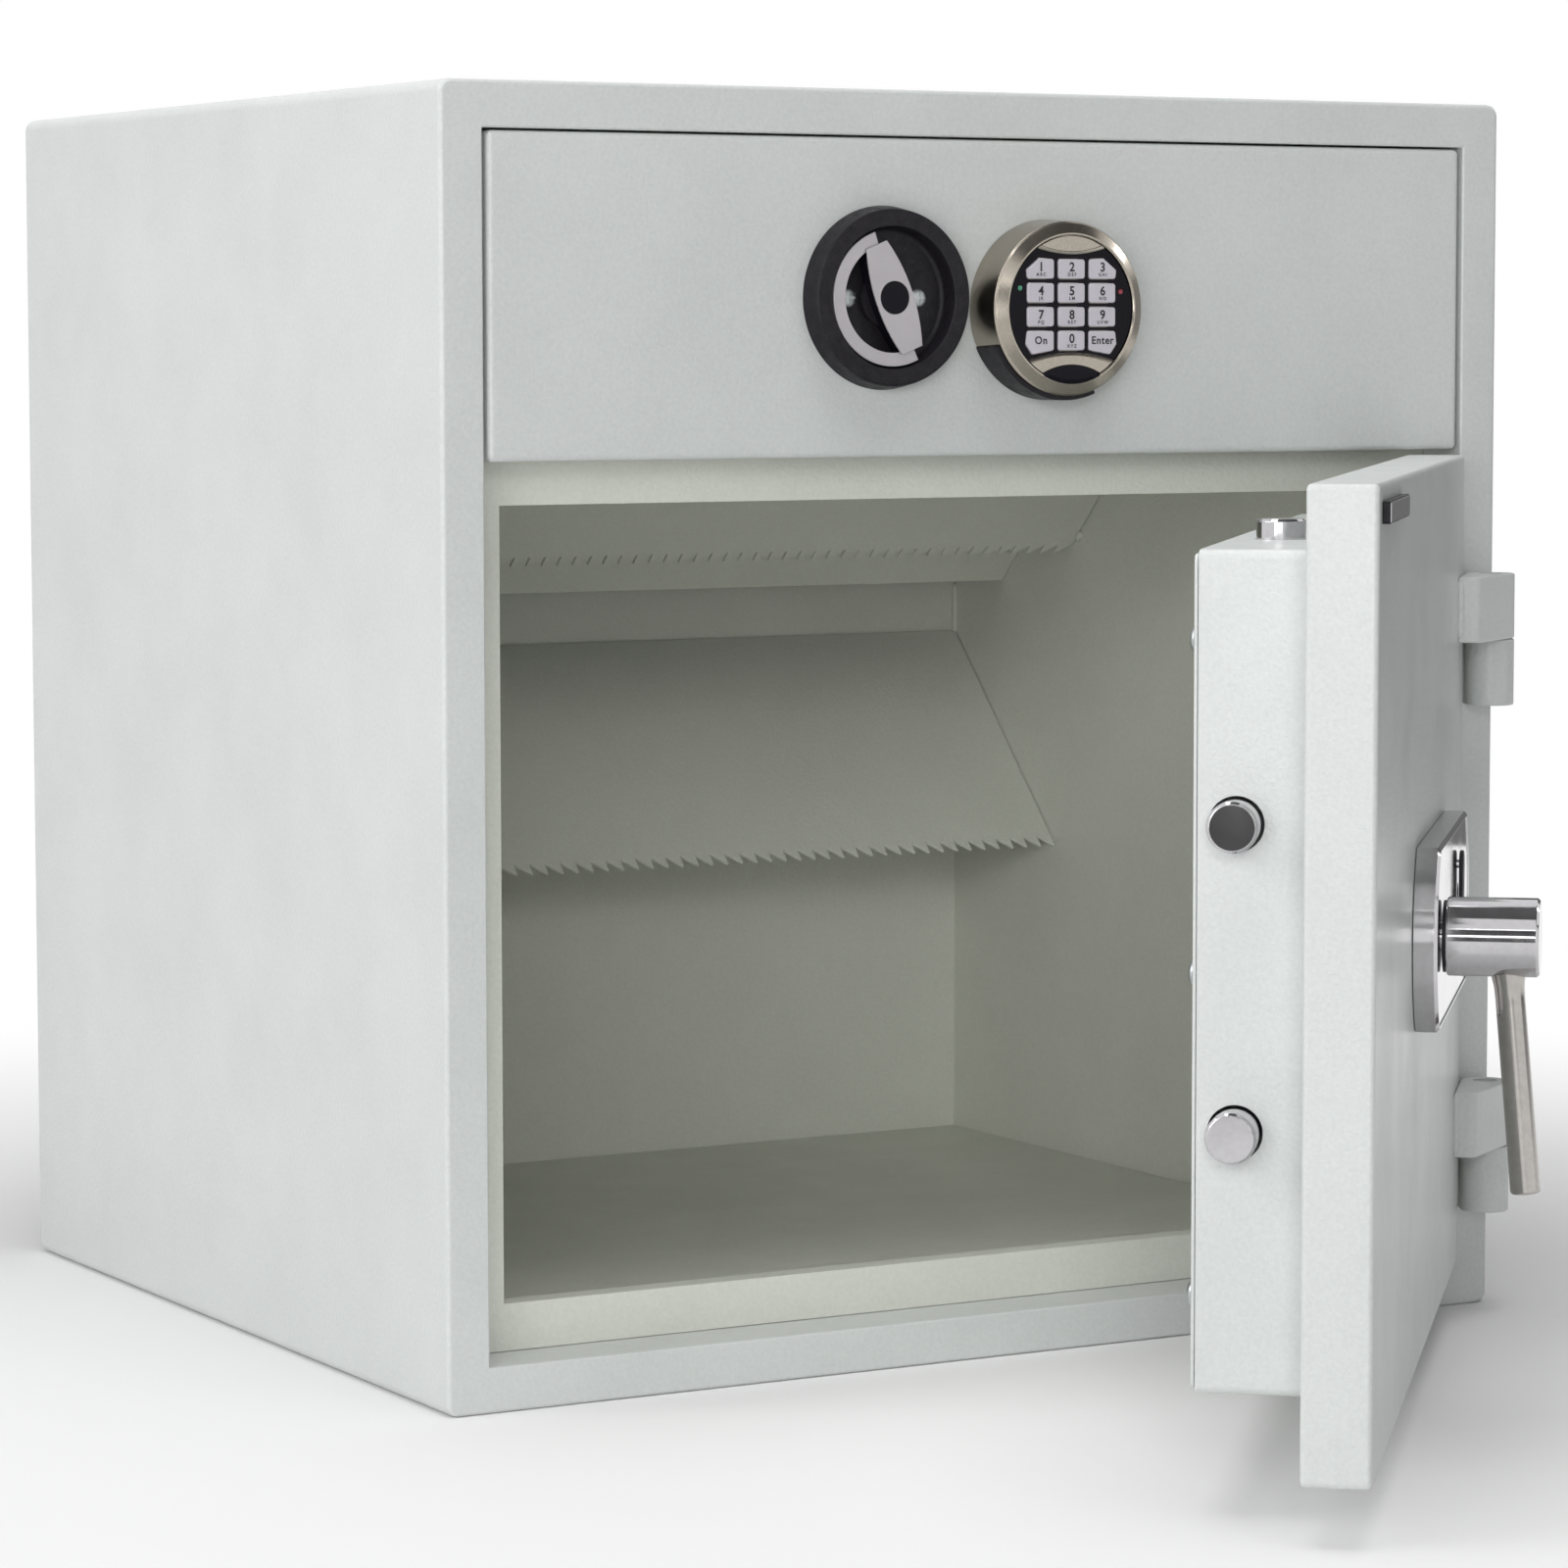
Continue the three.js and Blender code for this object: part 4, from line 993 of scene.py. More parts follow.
def cross_screw(axis, centre, base, face, radius, out):
    """A domed screw head with a cross recess; out is -1 where the head faces the front."""
    rise = abs(face - base)
    neck = radius * SCREW_NECK
    path = [(0.0, base - out * SCREW_SINK), (neck, base - out * SCREW_SINK), (neck, base), (radius, base)]
    head = turned(path + dome(radius, base, out * rise, 1), axis, centre, SMALL_SIDES)
    width, length = CROSS_WIDTH * radius / CROSS_HEAD, CROSS_LENGTH * radius / CROSS_HEAD
    deep = sorted((base + out * rise * CROSS_FLOOR, base + out * (rise + OVERRUN)))
    a, b = centre
    cutters = []
    for half_a, half_b in ((width / 2, length / 2), (length / 2, width / 2)):
        corners = rectangle((a - half_a, b - half_b), (a + half_a, b + half_b))
        cutters.append(drawn(corners, [(0.0, place) for place in deep], axis))
    return cut(head, *cutters)


def make_cover():
    low, high = span("bolt_box_cover")
    plate = soft_slab(rectangle(low.xz, high.xz, COVER_BEND), low.y - COVER_LAP, high.y, COVER_EDGE)
    screws = {"cover_screw_%d" % (i + 1): "screw_head_%d" % (i + 1) for i in range(3)}
    holes = [(middle(screw, "xz"), COVER_HOLE) for screw in screws]
    dress("bolt_box_cover", "box_cover", drilled(plate, low, high, holes, sides=SCREW_HOLE_SIDES))
    for screw, name in screws.items():
        head_low, head_high = span(screw)
        radius = (head_high.x - head_low.x) / 2
        dress(screw, name, cross_screw("y", middle(screw, "xz"), high.y + SEAT, head_high.y, radius, 1))


make_cover()

# %% [markdown]
# The bolts are turned and chromed bars. A lathe profile with a small round at the tip's chamfer
# gives the bright ring that catches the light.

# %% The bolts
BOLT_RADIUS = 11.0
BOLT_CHAMFER = 1.2
BOLT_ROUND = 0.6
TOP_STEM = 122.0
STEM_KEPT = 0.5
STEM_SUNK = 2.0
FORK_EDGE = 0.5


def bolt_profile(tip, tail, out):
    """From the tip to the tail; out is the side that the tip points to."""
    return profile(
        (0.0, tip),
        (BOLT_RADIUS - BOLT_CHAMFER, tip, BOLT_ROUND),
        (BOLT_RADIUS, tip - out * BOLT_CHAMFER, BOLT_ROUND),
        (BOLT_RADIUS, tail),
        (0.0, tail),
    )


def make_side_bolts():
    for name in SIDE_BOLTS:
        low, high = span(name)
        bar = turned(bolt_profile(low.x, high.x, -1), "x", middle(name, "yz"))
        dress(name, name.replace("side_bolt", "round_bolt"), bar)


def make_top_bolt():
    """The round stem is turned new; the foot and its fork are cut from the copy below it."""
    low, high = span("top_bolt")
    foot = high.z - TOP_STEM
    reach = Vector((OVERRUN, OVERRUN))
    above = drawn(rectangle(low.xy - reach, high.xy + reach),
                  [(0.0, foot + STEM_KEPT), (0.0, high.z + 2 * OVERRUN)], "z")
    fork = bevelled(cut(copy_of("top_bolt"), above), FORK_EDGE)
    make("top_bolt_fork", fork, "lifting_bolt", "chrome", "zinc")
    stem = turned(bolt_profile(high.z, foot - STEM_SUNK, 1), "z", top_bolt_centre())
    dress("top_bolt", "top_bolt_stem", stem)


make_side_bolts()
make_top_bolt()
print("bolts of", 2 * BOLT_RADIUS, "mm")

# %% [markdown]
# ## The hinges
#
# Each hinge has a leaf welded on the door that turns on a pin over a knuckle on the casing. The
# leaf is a barrel with an arm that grows thinner towards its rounded free end. Both are painted
# with the body, and the paint lies over the weld beads.

# %% Leaves and knuckles
HINGE_RADIUS = 12.5
PIN_HOLE = 6.3
WEB_HALF = 8.0
ARM_SLOPE = 16.7
ARM_ROUND = 5.0
LEAF_ARC_STEPS, LEAF_STEPS = 28, 8
KNUCKLE_ARC_STEPS = 40
LEAF_EDGE = 1.0
KNUCKLE_EDGE = 0.9
LEAF_WELD, LEAF_WELD_IN, LEAF_WELD_SUNK = 2.3, 0.5, 0.6
KNUCKLE_WELD, KNUCKLE_WELD_OFF, KNUCKLE_WELD_SUNK = 1.8, 0.6, 0.5
WELD_END = 2.0
LEAF_SEED = 10
KNUCKLE_SEED = 20
hinge_at = (HINGE_PLACE.x / MM, HINGE_PLACE.y / MM)


def upright_bead(name, x, y, low, high, *values):
    """A bead that ends a little short of both ends of its piece."""
    weld_bead(name, (x, y, low.z + WELD_END), (x, y, high.z - WELD_END), *values)


def make_leaf(side, seed):
    solid = side + "_hinge_leaf"
    low, high = span(solid)
    barrel = arc(hinge_at, HINGE_RADIUS, -90 - ARM_SLOPE, 90, LEAF_ARC_STEPS)
    fall = (barrel[0][0] - low.x) * math.tan(math.radians(ARM_SLOPE))
    outline = [*barrel, (low.x, high.y, 0.0), (low.x, barrel[0][1] + fall, ARM_ROUND)]
    leaf = soft_slab(outline, low.z, high.z, LEAF_EDGE, "z", steps=LEAF_STEPS)
    dress(solid, side + "_leaf", drilled(leaf, low, high, [(hinge_at, PIN_HOLE)], "z"))
    upright_bead(side + "_leaf_weld", low.x + LEAF_WELD_IN, high.y - LEAF_WELD_SUNK, low, high,
                 LEAF_WELD, "door", "body_paint", seed)


def make_knuckle(side, seed):
    solid = side + "_hinge_knuckle"
    low, high = span(solid)
    lean = math.degrees(math.acos(WEB_HALF / HINGE_RADIUS))
    barrel = arc(hinge_at, HINGE_RADIUS, 180 - lean, 360 + lean, KNUCKLE_ARC_STEPS)
    outline = [*barrel, (hinge_at[0] + WEB_HALF, high.y), (hinge_at[0] - WEB_HALF, high.y)]
    knuckle = soft_slab(outline, low.z, high.z, KNUCKLE_EDGE, "z")
    dress(solid, side + "_knuckle", drilled(knuckle, low, high, [(hinge_at, PIN_HOLE)], "z"))
    for j, edge in enumerate((-1, 1)):
        x = hinge_at[0] + edge * (WEB_HALF + KNUCKLE_WELD_OFF)
        upright_bead("%s_knuckle_weld_%d" % (side, j), x, high.y - KNUCKLE_WELD_SUNK, low, high,
                     KNUCKLE_WELD, "casing", "body_paint", seed + j)


for i, side in enumerate(("lower", "upper")):
    make_leaf(side, LEAF_SEED + i)
    make_knuckle(side, KNUCKLE_SEED + 2 * i)

# %% [markdown]
# ## The handle
#
# A chromed plate with curved ends carries a round hub, and a straight lever hangs from the hub.
# The plate's front is framed by a bright bevelled rim round a flat face, and the keyhole hides
# behind a small swinging flap.

# %% The plate behind the handle
PLATE_BULGE = 20.5
BULGE_STEPS = 24
PLATE_BACK = 8.0
RIM_SLOPE = 1.5
RIM_FLAT = 0.9
RIM_BEND, RIM_OUTER_BEND = 0.3, 0.4
FACE_SLOPE = 0.5
FACE_SUNK = 0.5
FACE_START = 3.0
PIVOT_ABOVE_KEY = 14.0
PIVOT_HOLE = 2.3


def bulged_outline(low, high, bulge):
    """A rectangle whose short ends are drawn out into flat arcs."""
    reach = (high.z - low.z) / 2
    z = (high.z + low.z) / 2
    radius = (reach * reach + bulge * bulge) / (2 * bulge)
    half = math.degrees(math.asin(reach / radius))
    right = arc((high.x - radius, z), radius, -half, half, BULGE_STEPS)
    left = arc((low.x + radius, z), radius, 180 - half, 180 + half, BULGE_STEPS)
    return right + left


def make_escutcheon():
    low, high = span("handle_escutcheon")
    inner = RIM_SLOPE + RIM_FLAT
    path = profile(
        (PLATE_BACK, high.y),
        (0.0, high.y, RIM_BEND),
        (0.0, low.y + RIM_SLOPE, RIM_OUTER_BEND),
        (RIM_SLOPE, low.y, RIM_BEND),
        (inner, low.y, RIM_BEND),
        (inner + FACE_SLOPE, low.y + FACE_SUNK),
        (inner + FACE_START, low.y + FACE_SUNK),
    )
    plate = drawn(bulged_outline(low, high, PLATE_BULGE), path)
    pivot = (KEY_AT[0], KEY_AT[1] + PIVOT_ABOVE_KEY)
    holes = [(HUB_AT, SPINDLE_HOLE), (KEY_AT, KEY_HOLE), (pivot, PIVOT_HOLE)]
    dress("handle_escutcheon", "handle_plate", drilled(plate, low, high, holes))


make_escutcheon()

# %% The hub, and a black ring whose black paints the shade in the gap behind it
HUB_CHAMFER = 1.2
HUB_ROUND = 0.5
HUB_FOOT = 13.3
HUB_FOOT_ROUND = 1.0
HUB_FOOT_FACE = 14.0
SPINDLE_RADIUS = 7.0
GAP_RING_RADIUS = 16.4
GAP_RING_BORE = 7.2
GAP_RING_FROM, GAP_RING_TO = 0.1, 11.7


def make_hub():
    low, high = span("handle_hub")
    radius = (high.x - low.x) / 2
    foot = FRONT - HUB_FOOT
    path = profile(
        (0.0, low.y),
        (radius - HUB_CHAMFER, low.y, HUB_ROUND),
        (radius, low.y + HUB_CHAMFER, HUB_ROUND),
        (radius, foot, HUB_FOOT_ROUND),
        (HUB_FOOT_FACE, foot),
        (SPINDLE_RADIUS, foot),
        (SPINDLE_RADIUS, high.y),
        (0.0, high.y),
    )
    dress("handle_hub", "hub", turned(path, "y", HUB_AT))
    # A black ring fills the gap between the hub's foot and the plate; its black paints the shade in that
    # gap
    near, far = foot + GAP_RING_FROM, FRONT - GAP_RING_TO
    ring = [(GAP_RING_BORE, near), (GAP_RING_RADIUS, near), (GAP_RING_RADIUS, far), (GAP_RING_BORE, far)]
    make("hub_gap_shade_ring", turned(ring, "y", HUB_AT, ring_of_rings=True), "door_handle", "black_plastic")


make_hub()

# %% The lever
LEVER_BACK = 39.5
LEVER_LEAN = 5.0
LEVER_SHORT = 0.3
LEVER_TIP, LEVER_TIP_BEND = 6.95, 1.4
# Radius and height from the hub's centre line, from the grip up to the neck inside the hub
LEVER_SHAPE = [(6.75, -28.0), (7.0, -22.0), (7.7, -18.0), (8.2, -15.0), (6.5, -13.0)]


def make_lever():
    """The lever is drawn straight down from the hub's centre line and then leant outwards."""
    lean = math.radians(LEVER_LEAN)
    length = (HUB_AT[1] - span("handle_lever")[0].z) / math.cos(lean) - LEVER_SHORT
    path = profile((0.0, -length), (LEVER_TIP, -length, LEVER_TIP_BEND), *LEVER_SHAPE,
                   (0.0, LEVER_SHAPE[-1][1]))
    bm = turned(path, "z", (0.0, 0.0), SLIM_SIDES)
    swing = Matrix.Translation((HUB_AT[0], FRONT - LEVER_BACK, HUB_AT[1])) @ Matrix.Rotation(-lean, 4, "X")
    bmesh.ops.transform(bm, matrix=swing, verts=bm.verts)
    dress("handle_lever", "lever", bm, "lever_steel")


make_lever()

# %% The keyhole flap
FLAP_BACK = 11.6
FLAP_EDGE = 0.7
FLAP_STEPS = 24
PIVOT_HEAD = (3.4, 0.6)
PIVOT_HEAD_SUNK = 0.1
PIVOT_HEAD_BEND = 0.5
PIVOT_PIN = 2.0


def make_flap():
    low, high = span("keyhole_cover")
    half = (high.x - low.x) / 2
    x = (low.x + high.x) / 2
    top, bottom = high.z - half, low.z + half
    outline = arc((x, top), half, 0, 180, FLAP_STEPS) + arc((x, bottom), half, 180, 360, FLAP_STEPS)
    dress("keyhole_cover", "flap", soft_slab(outline, low.y, FRONT - FLAP_BACK, FLAP_EDGE))
    head, thick = PIVOT_HEAD
    path = profile((0.0, low.y), (head, low.y + PIVOT_HEAD_SUNK, PIVOT_HEAD_BEND), (head, low.y + thick),
                   (PIVOT_PIN, low.y + thick), (PIVOT_PIN, high.y), (0.0, high.y))
    make("flap_pivot", turned(path, "y", (x, top), SMALL_SIDES), "keyhole_flap", "black_plastic", "chrome")


make_flap()

# %% A bare nameplate
NAMEPLATE_FROM, NAMEPLATE_TO = (-262.0, 425.0), (-157.0, 434.5)
NAMEPLATE_CORNER = 1.5
NAMEPLATE_EDGE = 0.3
NAMEPLATE_THICK = 3.4
NAMEPLATE_GAP = 0.05
# The bright face: inset and height above the block's front, at its front and at its foot
BRIGHT_FACE = [(0.9, 0.35), (0.5, -0.1)]


def make_nameplate():
    """The maker's place on the door stays bare: a dark block with a plain bright face."""
    back = span("door_plate")[0].y
    front = back - NAMEPLATE_THICK
    corners = rectangle(NAMEPLATE_FROM, NAMEPLATE_TO, NAMEPLATE_CORNER)
    block = soft_slab(corners, front, back - NAMEPLATE_GAP, NAMEPLATE_EDGE)
    make("nameplate_block", block, "door", "black_plastic")
    face = drawn(corners, [(inset, front - rise) for inset, rise in BRIGHT_FACE])
    make("nameplate_face", face, "door", "chrome")


make_nameplate()

# %% [markdown]
# ## The drawer front
#
# The drawer's front is a thick plate like the door, painted with the body. The knob's spindle
# passes through one hole in it.

# %% The plate of the drawer
KNOB_AT = middle("knob_dish", "xz")
KEYPAD_AT = middle("keypad_housing", "xz")
KNOB_HOLE = 6.3

thick_plate("drawer_front", "drawer_plate", [(KNOB_AT, KNOB_HOLE)])

# %% [markdown]
# ## The knob
#
# A black dish is screwed to the drawer with two cross-head screws in its floor. A lens-shaped
# grip with a satin silver face turns in it, and a half ring of the same silver turns with the
# grip, so that a finger can reach in on one side only.

# %% The dish
DISH_RIM, DISH_RIM_DRAFT, DISH_RIM_BEND = 42.4, 0.2, 1.4
DISH_WELL, DISH_WELL_DRAFT, DISH_WELL_BEND = 34.0, 1.0, 0.8
DISH_FLOOR, DISH_FLOOR_BEND = 10.3, 2.5
DISH_STEPS = 6
SCREW_OFF = 19.4
SCREW_RADIUS = 4.6
SCREW_RISE = 1.3


def make_dish():
    low, high = span("knob_dish")
    floor = low.y + DISH_FLOOR
    path = profile(
        (KNOB_HOLE, floor),
        (DISH_WELL - DISH_WELL_DRAFT, floor, DISH_FLOOR_BEND),
        (DISH_WELL, low.y, DISH_WELL_BEND),
        (DISH_RIM - DISH_RIM_DRAFT, low.y, DISH_RIM_BEND),
        ((high.x - low.x) / 2, high.y),
        (KNOB_HOLE, high.y),
        steps=DISH_STEPS,
    )
    dress("knob_dish", "dish", turned(path, "y", KNOB_AT, WIDE_SIDES, True))
    for i, side in enumerate((-1, 1)):
        place = (KNOB_AT[0] + side * SCREW_OFF, KNOB_AT[1])
        head = cross_screw("y", place, floor, floor - SCREW_RISE, SCREW_RADIUS, -1)
        make("dish_screw_%d" % (i + 1), head, "drawer", "zinc")


make_dish()

# %% The outlines of the grip and its half ring
GRIP_TILT = 21.5
GRIP_LENGTH = 53.8
GRIP_END = 11.8
GRIP_MIDDLE = 20.4
GRIP_DOT = 8.0
RING_OUTER = 32.8
RING_INNER = 26.2
RING_FACE = 10.2
RING_BEYOND = 4.0
RING_STEPS = 48
LENS_STEPS = 20


def tilted(bm):
    """Turn a piece of the grip about the knob's centre line, top to the left."""
    place = Matrix.Translation((KNOB_AT[0], 0.0, KNOB_AT[1]))
    turn = place @ Matrix.Rotation(math.radians(-GRIP_TILT), 4, "Y") @ place.inverted()
    bmesh.ops.transform(bm, matrix=turn, verts=bm.verts)
    return bm


def lens(length, end, middle_width, centre=KNOB_AT):
    """Two arcs that meet in short straight ends, drawn upright."""
    x, z = centre
    reach = length / 2
    belly = (middle_width - end) / 2
    radius = (reach * reach + belly * belly) / (2 * belly)
    half = math.degrees(math.asin(reach / radius))
    offset = end / 2 + belly - radius
    right = arc((x + offset, z), radius, -half, half, LENS_STEPS)
    left = arc((x - offset, z), radius, 180 - half, 180 + half, LENS_STEPS)
    return right + left


def half_ring():
    start, end = 90 - RING_BEYOND, 270 + RING_BEYOND
    return (arc(KNOB_AT, RING_OUTER, start, end, RING_STEPS)
            + arc(KNOB_AT, RING_INNER, end, start, RING_STEPS))


# %% The grip
GRIP_FOOT = 2.4
CAP_REACH = 1.5
CAP_BEND = 0.25
CAP_THICK = 1.0
# The black sides draw in from the face and flare out again at the foot: inset, depth, radius
GRIP_SIDES = [(2.0, 0.9), (0.35, 0.9), (0.35, 1.6, 0.5), (1.6, 4.5, 3.0)]
GRIP_FLARE = 0.2
DOT_POCKET = 0.35
DOT_GAP, DOT_FACE, DOT_BACK, DOT_BEND = 0.05, 0.12, 0.4, 0.1


def make_grip_bar(face, under):
    """A black block, the silver cap on it, and the black dot set in the cap."""
    outline = lens(GRIP_LENGTH, GRIP_END, GRIP_MIDDLE)
    sides = [(inset, face + depth, *bend) for inset, depth, *bend in GRIP_SIDES]
    path = profile(*sides, (GRIP_FLARE, under), (GRIP_SIDES[0][0], under))
    block = tilted(drawn(outline, path))
    make("grip_block", block, "drawer_knob", "black_plastic", "gloss_black", "knob_grip")
    path = profile((CAP_REACH, face), (0.0, face, CAP_BEND), (0.0, face + CAP_THICK),
                   (CAP_REACH, face + CAP_THICK))
    pocket = hole("y", KNOB_AT, GRIP_DOT, face - OVERRUN, face + DOT_POCKET, SLIM_SIDES)
    make("grip_face", cut(tilted(drawn(outline, path)), pocket), "drawer_knob", "silver_plastic")
    radius = GRIP_DOT - DOT_GAP
    path = profile((0.0, face + DOT_FACE), (radius, face + DOT_FACE, DOT_BEND), (radius, face + DOT_BACK),
                   (0.0, face + DOT_BACK))
    make("grip_dot", turned(path, "y", KNOB_AT, SLIM_SIDES), "drawer_knob", "black_plastic", "gloss_black")


# %% The half ring, and what joins it to the grip
RING_THICK, RING_REACH, RING_BEND = 1.2, 1.0, 0.3
SKIRT_INSET, SKIRT_REACH = 0.3, 1.2
WEB_THICK = 1.6
SHAFT_FLANGE, SHAFT_RADIUS = 14.0, 6.0
SHAFT_UP, SHAFT_DOWN = 1.0, 2.1


def make_half_ring(under, back):
    face = FRONT - RING_FACE
    foot = face + RING_THICK
    ring = half_ring()
    path = profile((RING_REACH, face), (0.0, face, RING_BEND), (0.0, foot), (RING_REACH, foot))
    make("half_ring", tilted(drawn(ring, path)), "drawer_knob", "silver_plastic")
    path = [(SKIRT_REACH, foot), (SKIRT_INSET, foot), (SKIRT_INSET, under), (SKIRT_REACH, under)]
    make("ring_skirt", tilted(drawn(ring, path)), "drawer_knob", "black_plastic")
    x, z = KNOB_AT
    half, between = GRIP_END / 2, (RING_OUTER + RING_INNER) / 2
    web = rectangle((x - half, z - between), (x + half, z + between))
    web = drawn(web, [(0.0, under - WEB_THICK), (0.0, under)])
    make("ring_web", tilted(web), "drawer_knob", "black_plastic")
    near, far = under - SHAFT_UP, under + SHAFT_DOWN
    shaft = [(0.0, near), (SHAFT_FLANGE, near), (SHAFT_FLANGE, far), (SHAFT_RADIUS, far),
             (SHAFT_RADIUS, back), (0.0, back)]
    make("grip_shaft", turned(shaft, "y", KNOB_AT, SLIM_SIDES), "drawer_knob", "black_plastic")


def make_grip():
    low, high = span("knob_grip")
    under = span("knob_dish")[0].y + DISH_FLOOR - GRIP_FOOT
    make_grip_bar(low.y, under)
    make_half_ring(under, high.y)


make_grip()
print("grip of", GRIP_LENGTH, "mm, turned", GRIP_TILT, "degrees")

# %% [markdown]
# ## The keypad
#
# The keypad is a turned barrel of satin nickel with a wide sloping rim. Its black face lies a
# little below the rim, between two curved cheeks of the same metal. The rings of the lathe show
# in the gloss, so this finish follows the radius from the keypad's own centre line.

# %% The finish of the keypad's metal
keypad_centre = (KEYPAD_AT[0] * MM, 0.0, KEYPAD_AT[1] * MM)
FINISHES["nickel"] = finish("nickel", SATIN, 0.15, 0.27, grain=900.0, patches=30.0, bump=0.10, deep=0.04,
                            metallic=1.0, lines=keypad_centre)

# %% The barrel and its rim
BARREL_BORE = 35.3
BARREL_RIM = 42.2
FACE_POCKET = 4.0
# The rim's corners: radius, depth behind the front and bend
BARREL_SHAPE = [(BARREL_BORE, 0.5, 0.2), (BARREL_BORE + 0.5, 0.0, 0.25), (BARREL_BORE + 1.2, 0.0, 0.3),
             (BARREL_RIM - 0.9, 2.6, 0.5), (BARREL_RIM, 3.7, 0.6)]
barrel_low, barrel_high = span("keypad_housing")
barrel_radius = (barrel_high.x - barrel_low.x) / 2


def make_barrel():
    front, back = barrel_low.y, barrel_high.y
    rim = [(radius, front + depth, bend) for radius, depth, bend in BARREL_SHAPE]
    pocket = front + FACE_POCKET
    path = profile((0.0, pocket), (BARREL_BORE, pocket), *rim, (barrel_radius, back), (0.0, back))
    dress("keypad_housing", "keypad_barrel", turned(path, "y", KEYPAD_AT, WIDE_SIDES))


make_barrel()

# %% The battery lid under the barrel
LID_FROM, LID_TO = 205.0, 292.0
LID_NEAR, LID_FAR = 5.2, 0.3
LID_SUNK = 4.0
LID_THICK = 0.9
LID_EDGE, LID_EDGE_DEEP = 0.3, 0.4
LID_STEPS = 40


def make_battery_lid():
    """A curved patch on the barrel between two angles and two depths."""
    near, far = barrel_low.y + LID_NEAR, barrel_high.y - LID_FAR
    inner, outer = barrel_radius - LID_SUNK, barrel_radius + LID_THICK
    section = [(inner, near), (outer - LID_EDGE, near), (outer, near + LID_EDGE_DEEP),
               (outer, far - LID_EDGE_DEEP), (outer - LID_EDGE, far), (inner, far)]
    x, z = KEYPAD_AT
    rings = []
    for k in range(LID_STEPS + 1):
        angle = math.radians(LID_FROM + (LID_TO - LID_FROM) * k / LID_STEPS)
        rings.append([(x + radius * math.cos(angle), depth, z + radius * math.sin(angle))
                      for radius, depth in section])
    make("battery_lid", joined_rings(rings), "drawer", "black_plastic")


make_battery_lid()

# %% The outlines of the keys
KEY_CORNER = 1.3
POCKET_CORNER = 1.4
TOP_CLIP = {"across": 6.9, "down": 5.1, "rise": 0.6, "bulge": 0.5}
LOW_CLIP = {"across": 2.9, "down": 3.0, "rise": 2.0, "bulge": 0.8}
CLIPPED = {
    "key_1": ((-1, 1), TOP_CLIP), "key_3": ((1, 1), TOP_CLIP),
    "key_on": ((-1, -1), LOW_CLIP), "key_enter": ((1, -1), LOW_CLIP),
}
key_nodes = sorted(name for name in frame["nodes"]
                   if name.startswith("key_") and slot_of[name] == "key_plastic")


def key_outline(name, low, high, bend):
    """A rounded rectangle; the four outer keys are clipped at the corner that points away."""
    corners = {(-1, -1): (low.x, low.z), (1, -1): (high.x, low.z),
               (1, 1): (high.x, high.z), (-1, 1): (low.x, high.z)}
    clipped_side, clip = CLIPPED.get(name, (None, None))
    outline = []
    for side, (x, z) in corners.items():
        if side != clipped_side:
            outline.append((x, z, bend))
            continue
        across = (x - side[0] * clip["across"], z + side[1] * clip["rise"], bend)
        down = (x + side[0] * clip["bulge"], z - side[1] * clip["down"], bend)
        outline += [down, across] if side in ((1, 1), (-1, -1)) else [across, down]
    return outline


print(len(key_nodes), "keys")

# %% The black face
FACE_EDGE = 0.2
face_low, face_high = span("keypad_face")
face_radius = (face_high.x - face_low.x) / 2


def make_face():
    front, back = face_low.y, face_high.y
    path = profile((0.0, front), (face_radius, front, FACE_EDGE), (face_radius, back), (0.0, back))
    blank = turned(path, "y", KEYPAD_AT)
    wide = Vector((SEAT, 0.0, SEAT))
    pockets = []
    for name in key_nodes:
        low, high = span(name)
        outline = key_outline(name, low - wide, high + wide, POCKET_CORNER)
        pockets.append(drawn(outline, [(0.0, front - OVERRUN), (0.0, back + OVERRUN)]))
    dress("keypad_face", "keypad_front", cut(blank, *pockets), "gloss_black")


make_face()

# %% The cheeks
CHEEKS = {
    "upper_cheek": {"half": 19.0, "sides": 29.0, "middle": 26.2},
    "lower_cheek": {"half": 24.5, "sides": -25.0, "middle": -21.2},
}
CHEEK_RISE = 0.7
CHEEK_LIP = 1.2
CHEEK_GAP = 0.1
CHEEK_STEPS = 24
# Inset from the cheek's outline and height above the black face, from its foot to its top
CHEEK_PATH = [(0.0, -0.2), (0.0, 0.1), (CHEEK_LIP * 0.4, CHEEK_RISE * 0.7), (CHEEK_LIP, CHEEK_RISE),
              (CHEEK_LIP + 0.25, CHEEK_RISE * 0.55), (CHEEK_LIP + 2.5, CHEEK_RISE)]


def cheek_ring(values, radius, inset, place):
    """The rim's arc and a flatter arc through the cheek's sides and middle, at one depth."""
    x, z = KEYPAD_AT
    side = math.copysign(1, values["middle"])
    middle, sides = values["middle"] + side * inset, values["sides"] + side * inset
    half = min(values["half"], math.sqrt(radius * radius - sides * sides))
    shares = [-1 + 2 * k / CHEEK_STEPS for k in range(CHEEK_STEPS + 1)]
    inner = [(half * share, middle + (sides - middle) * share * share) for share in shares]
    start, end = (math.atan2(b, a) for a, b in (inner[-1], inner[0]))
    sweep = (end - start) % (2 * math.pi) if side > 0 else -((start - end) % (2 * math.pi))
    turns = [start + sweep * k / CHEEK_STEPS for k in range(1, CHEEK_STEPS)]
    rim = [(radius * math.cos(t), radius * math.sin(t)) for t in turns]
    return [(x + a, place, z + b) for a, b in inner + rim]


for name, values in CHEEKS.items():
    rings = [cheek_ring(values, face_radius - CHEEK_GAP, inset, face_low.y - rise)
             for inset, rise in CHEEK_PATH]
    make(name, joined_rings(rings), "drawer", "nickel")
print(len(CHEEKS), "cheeks")

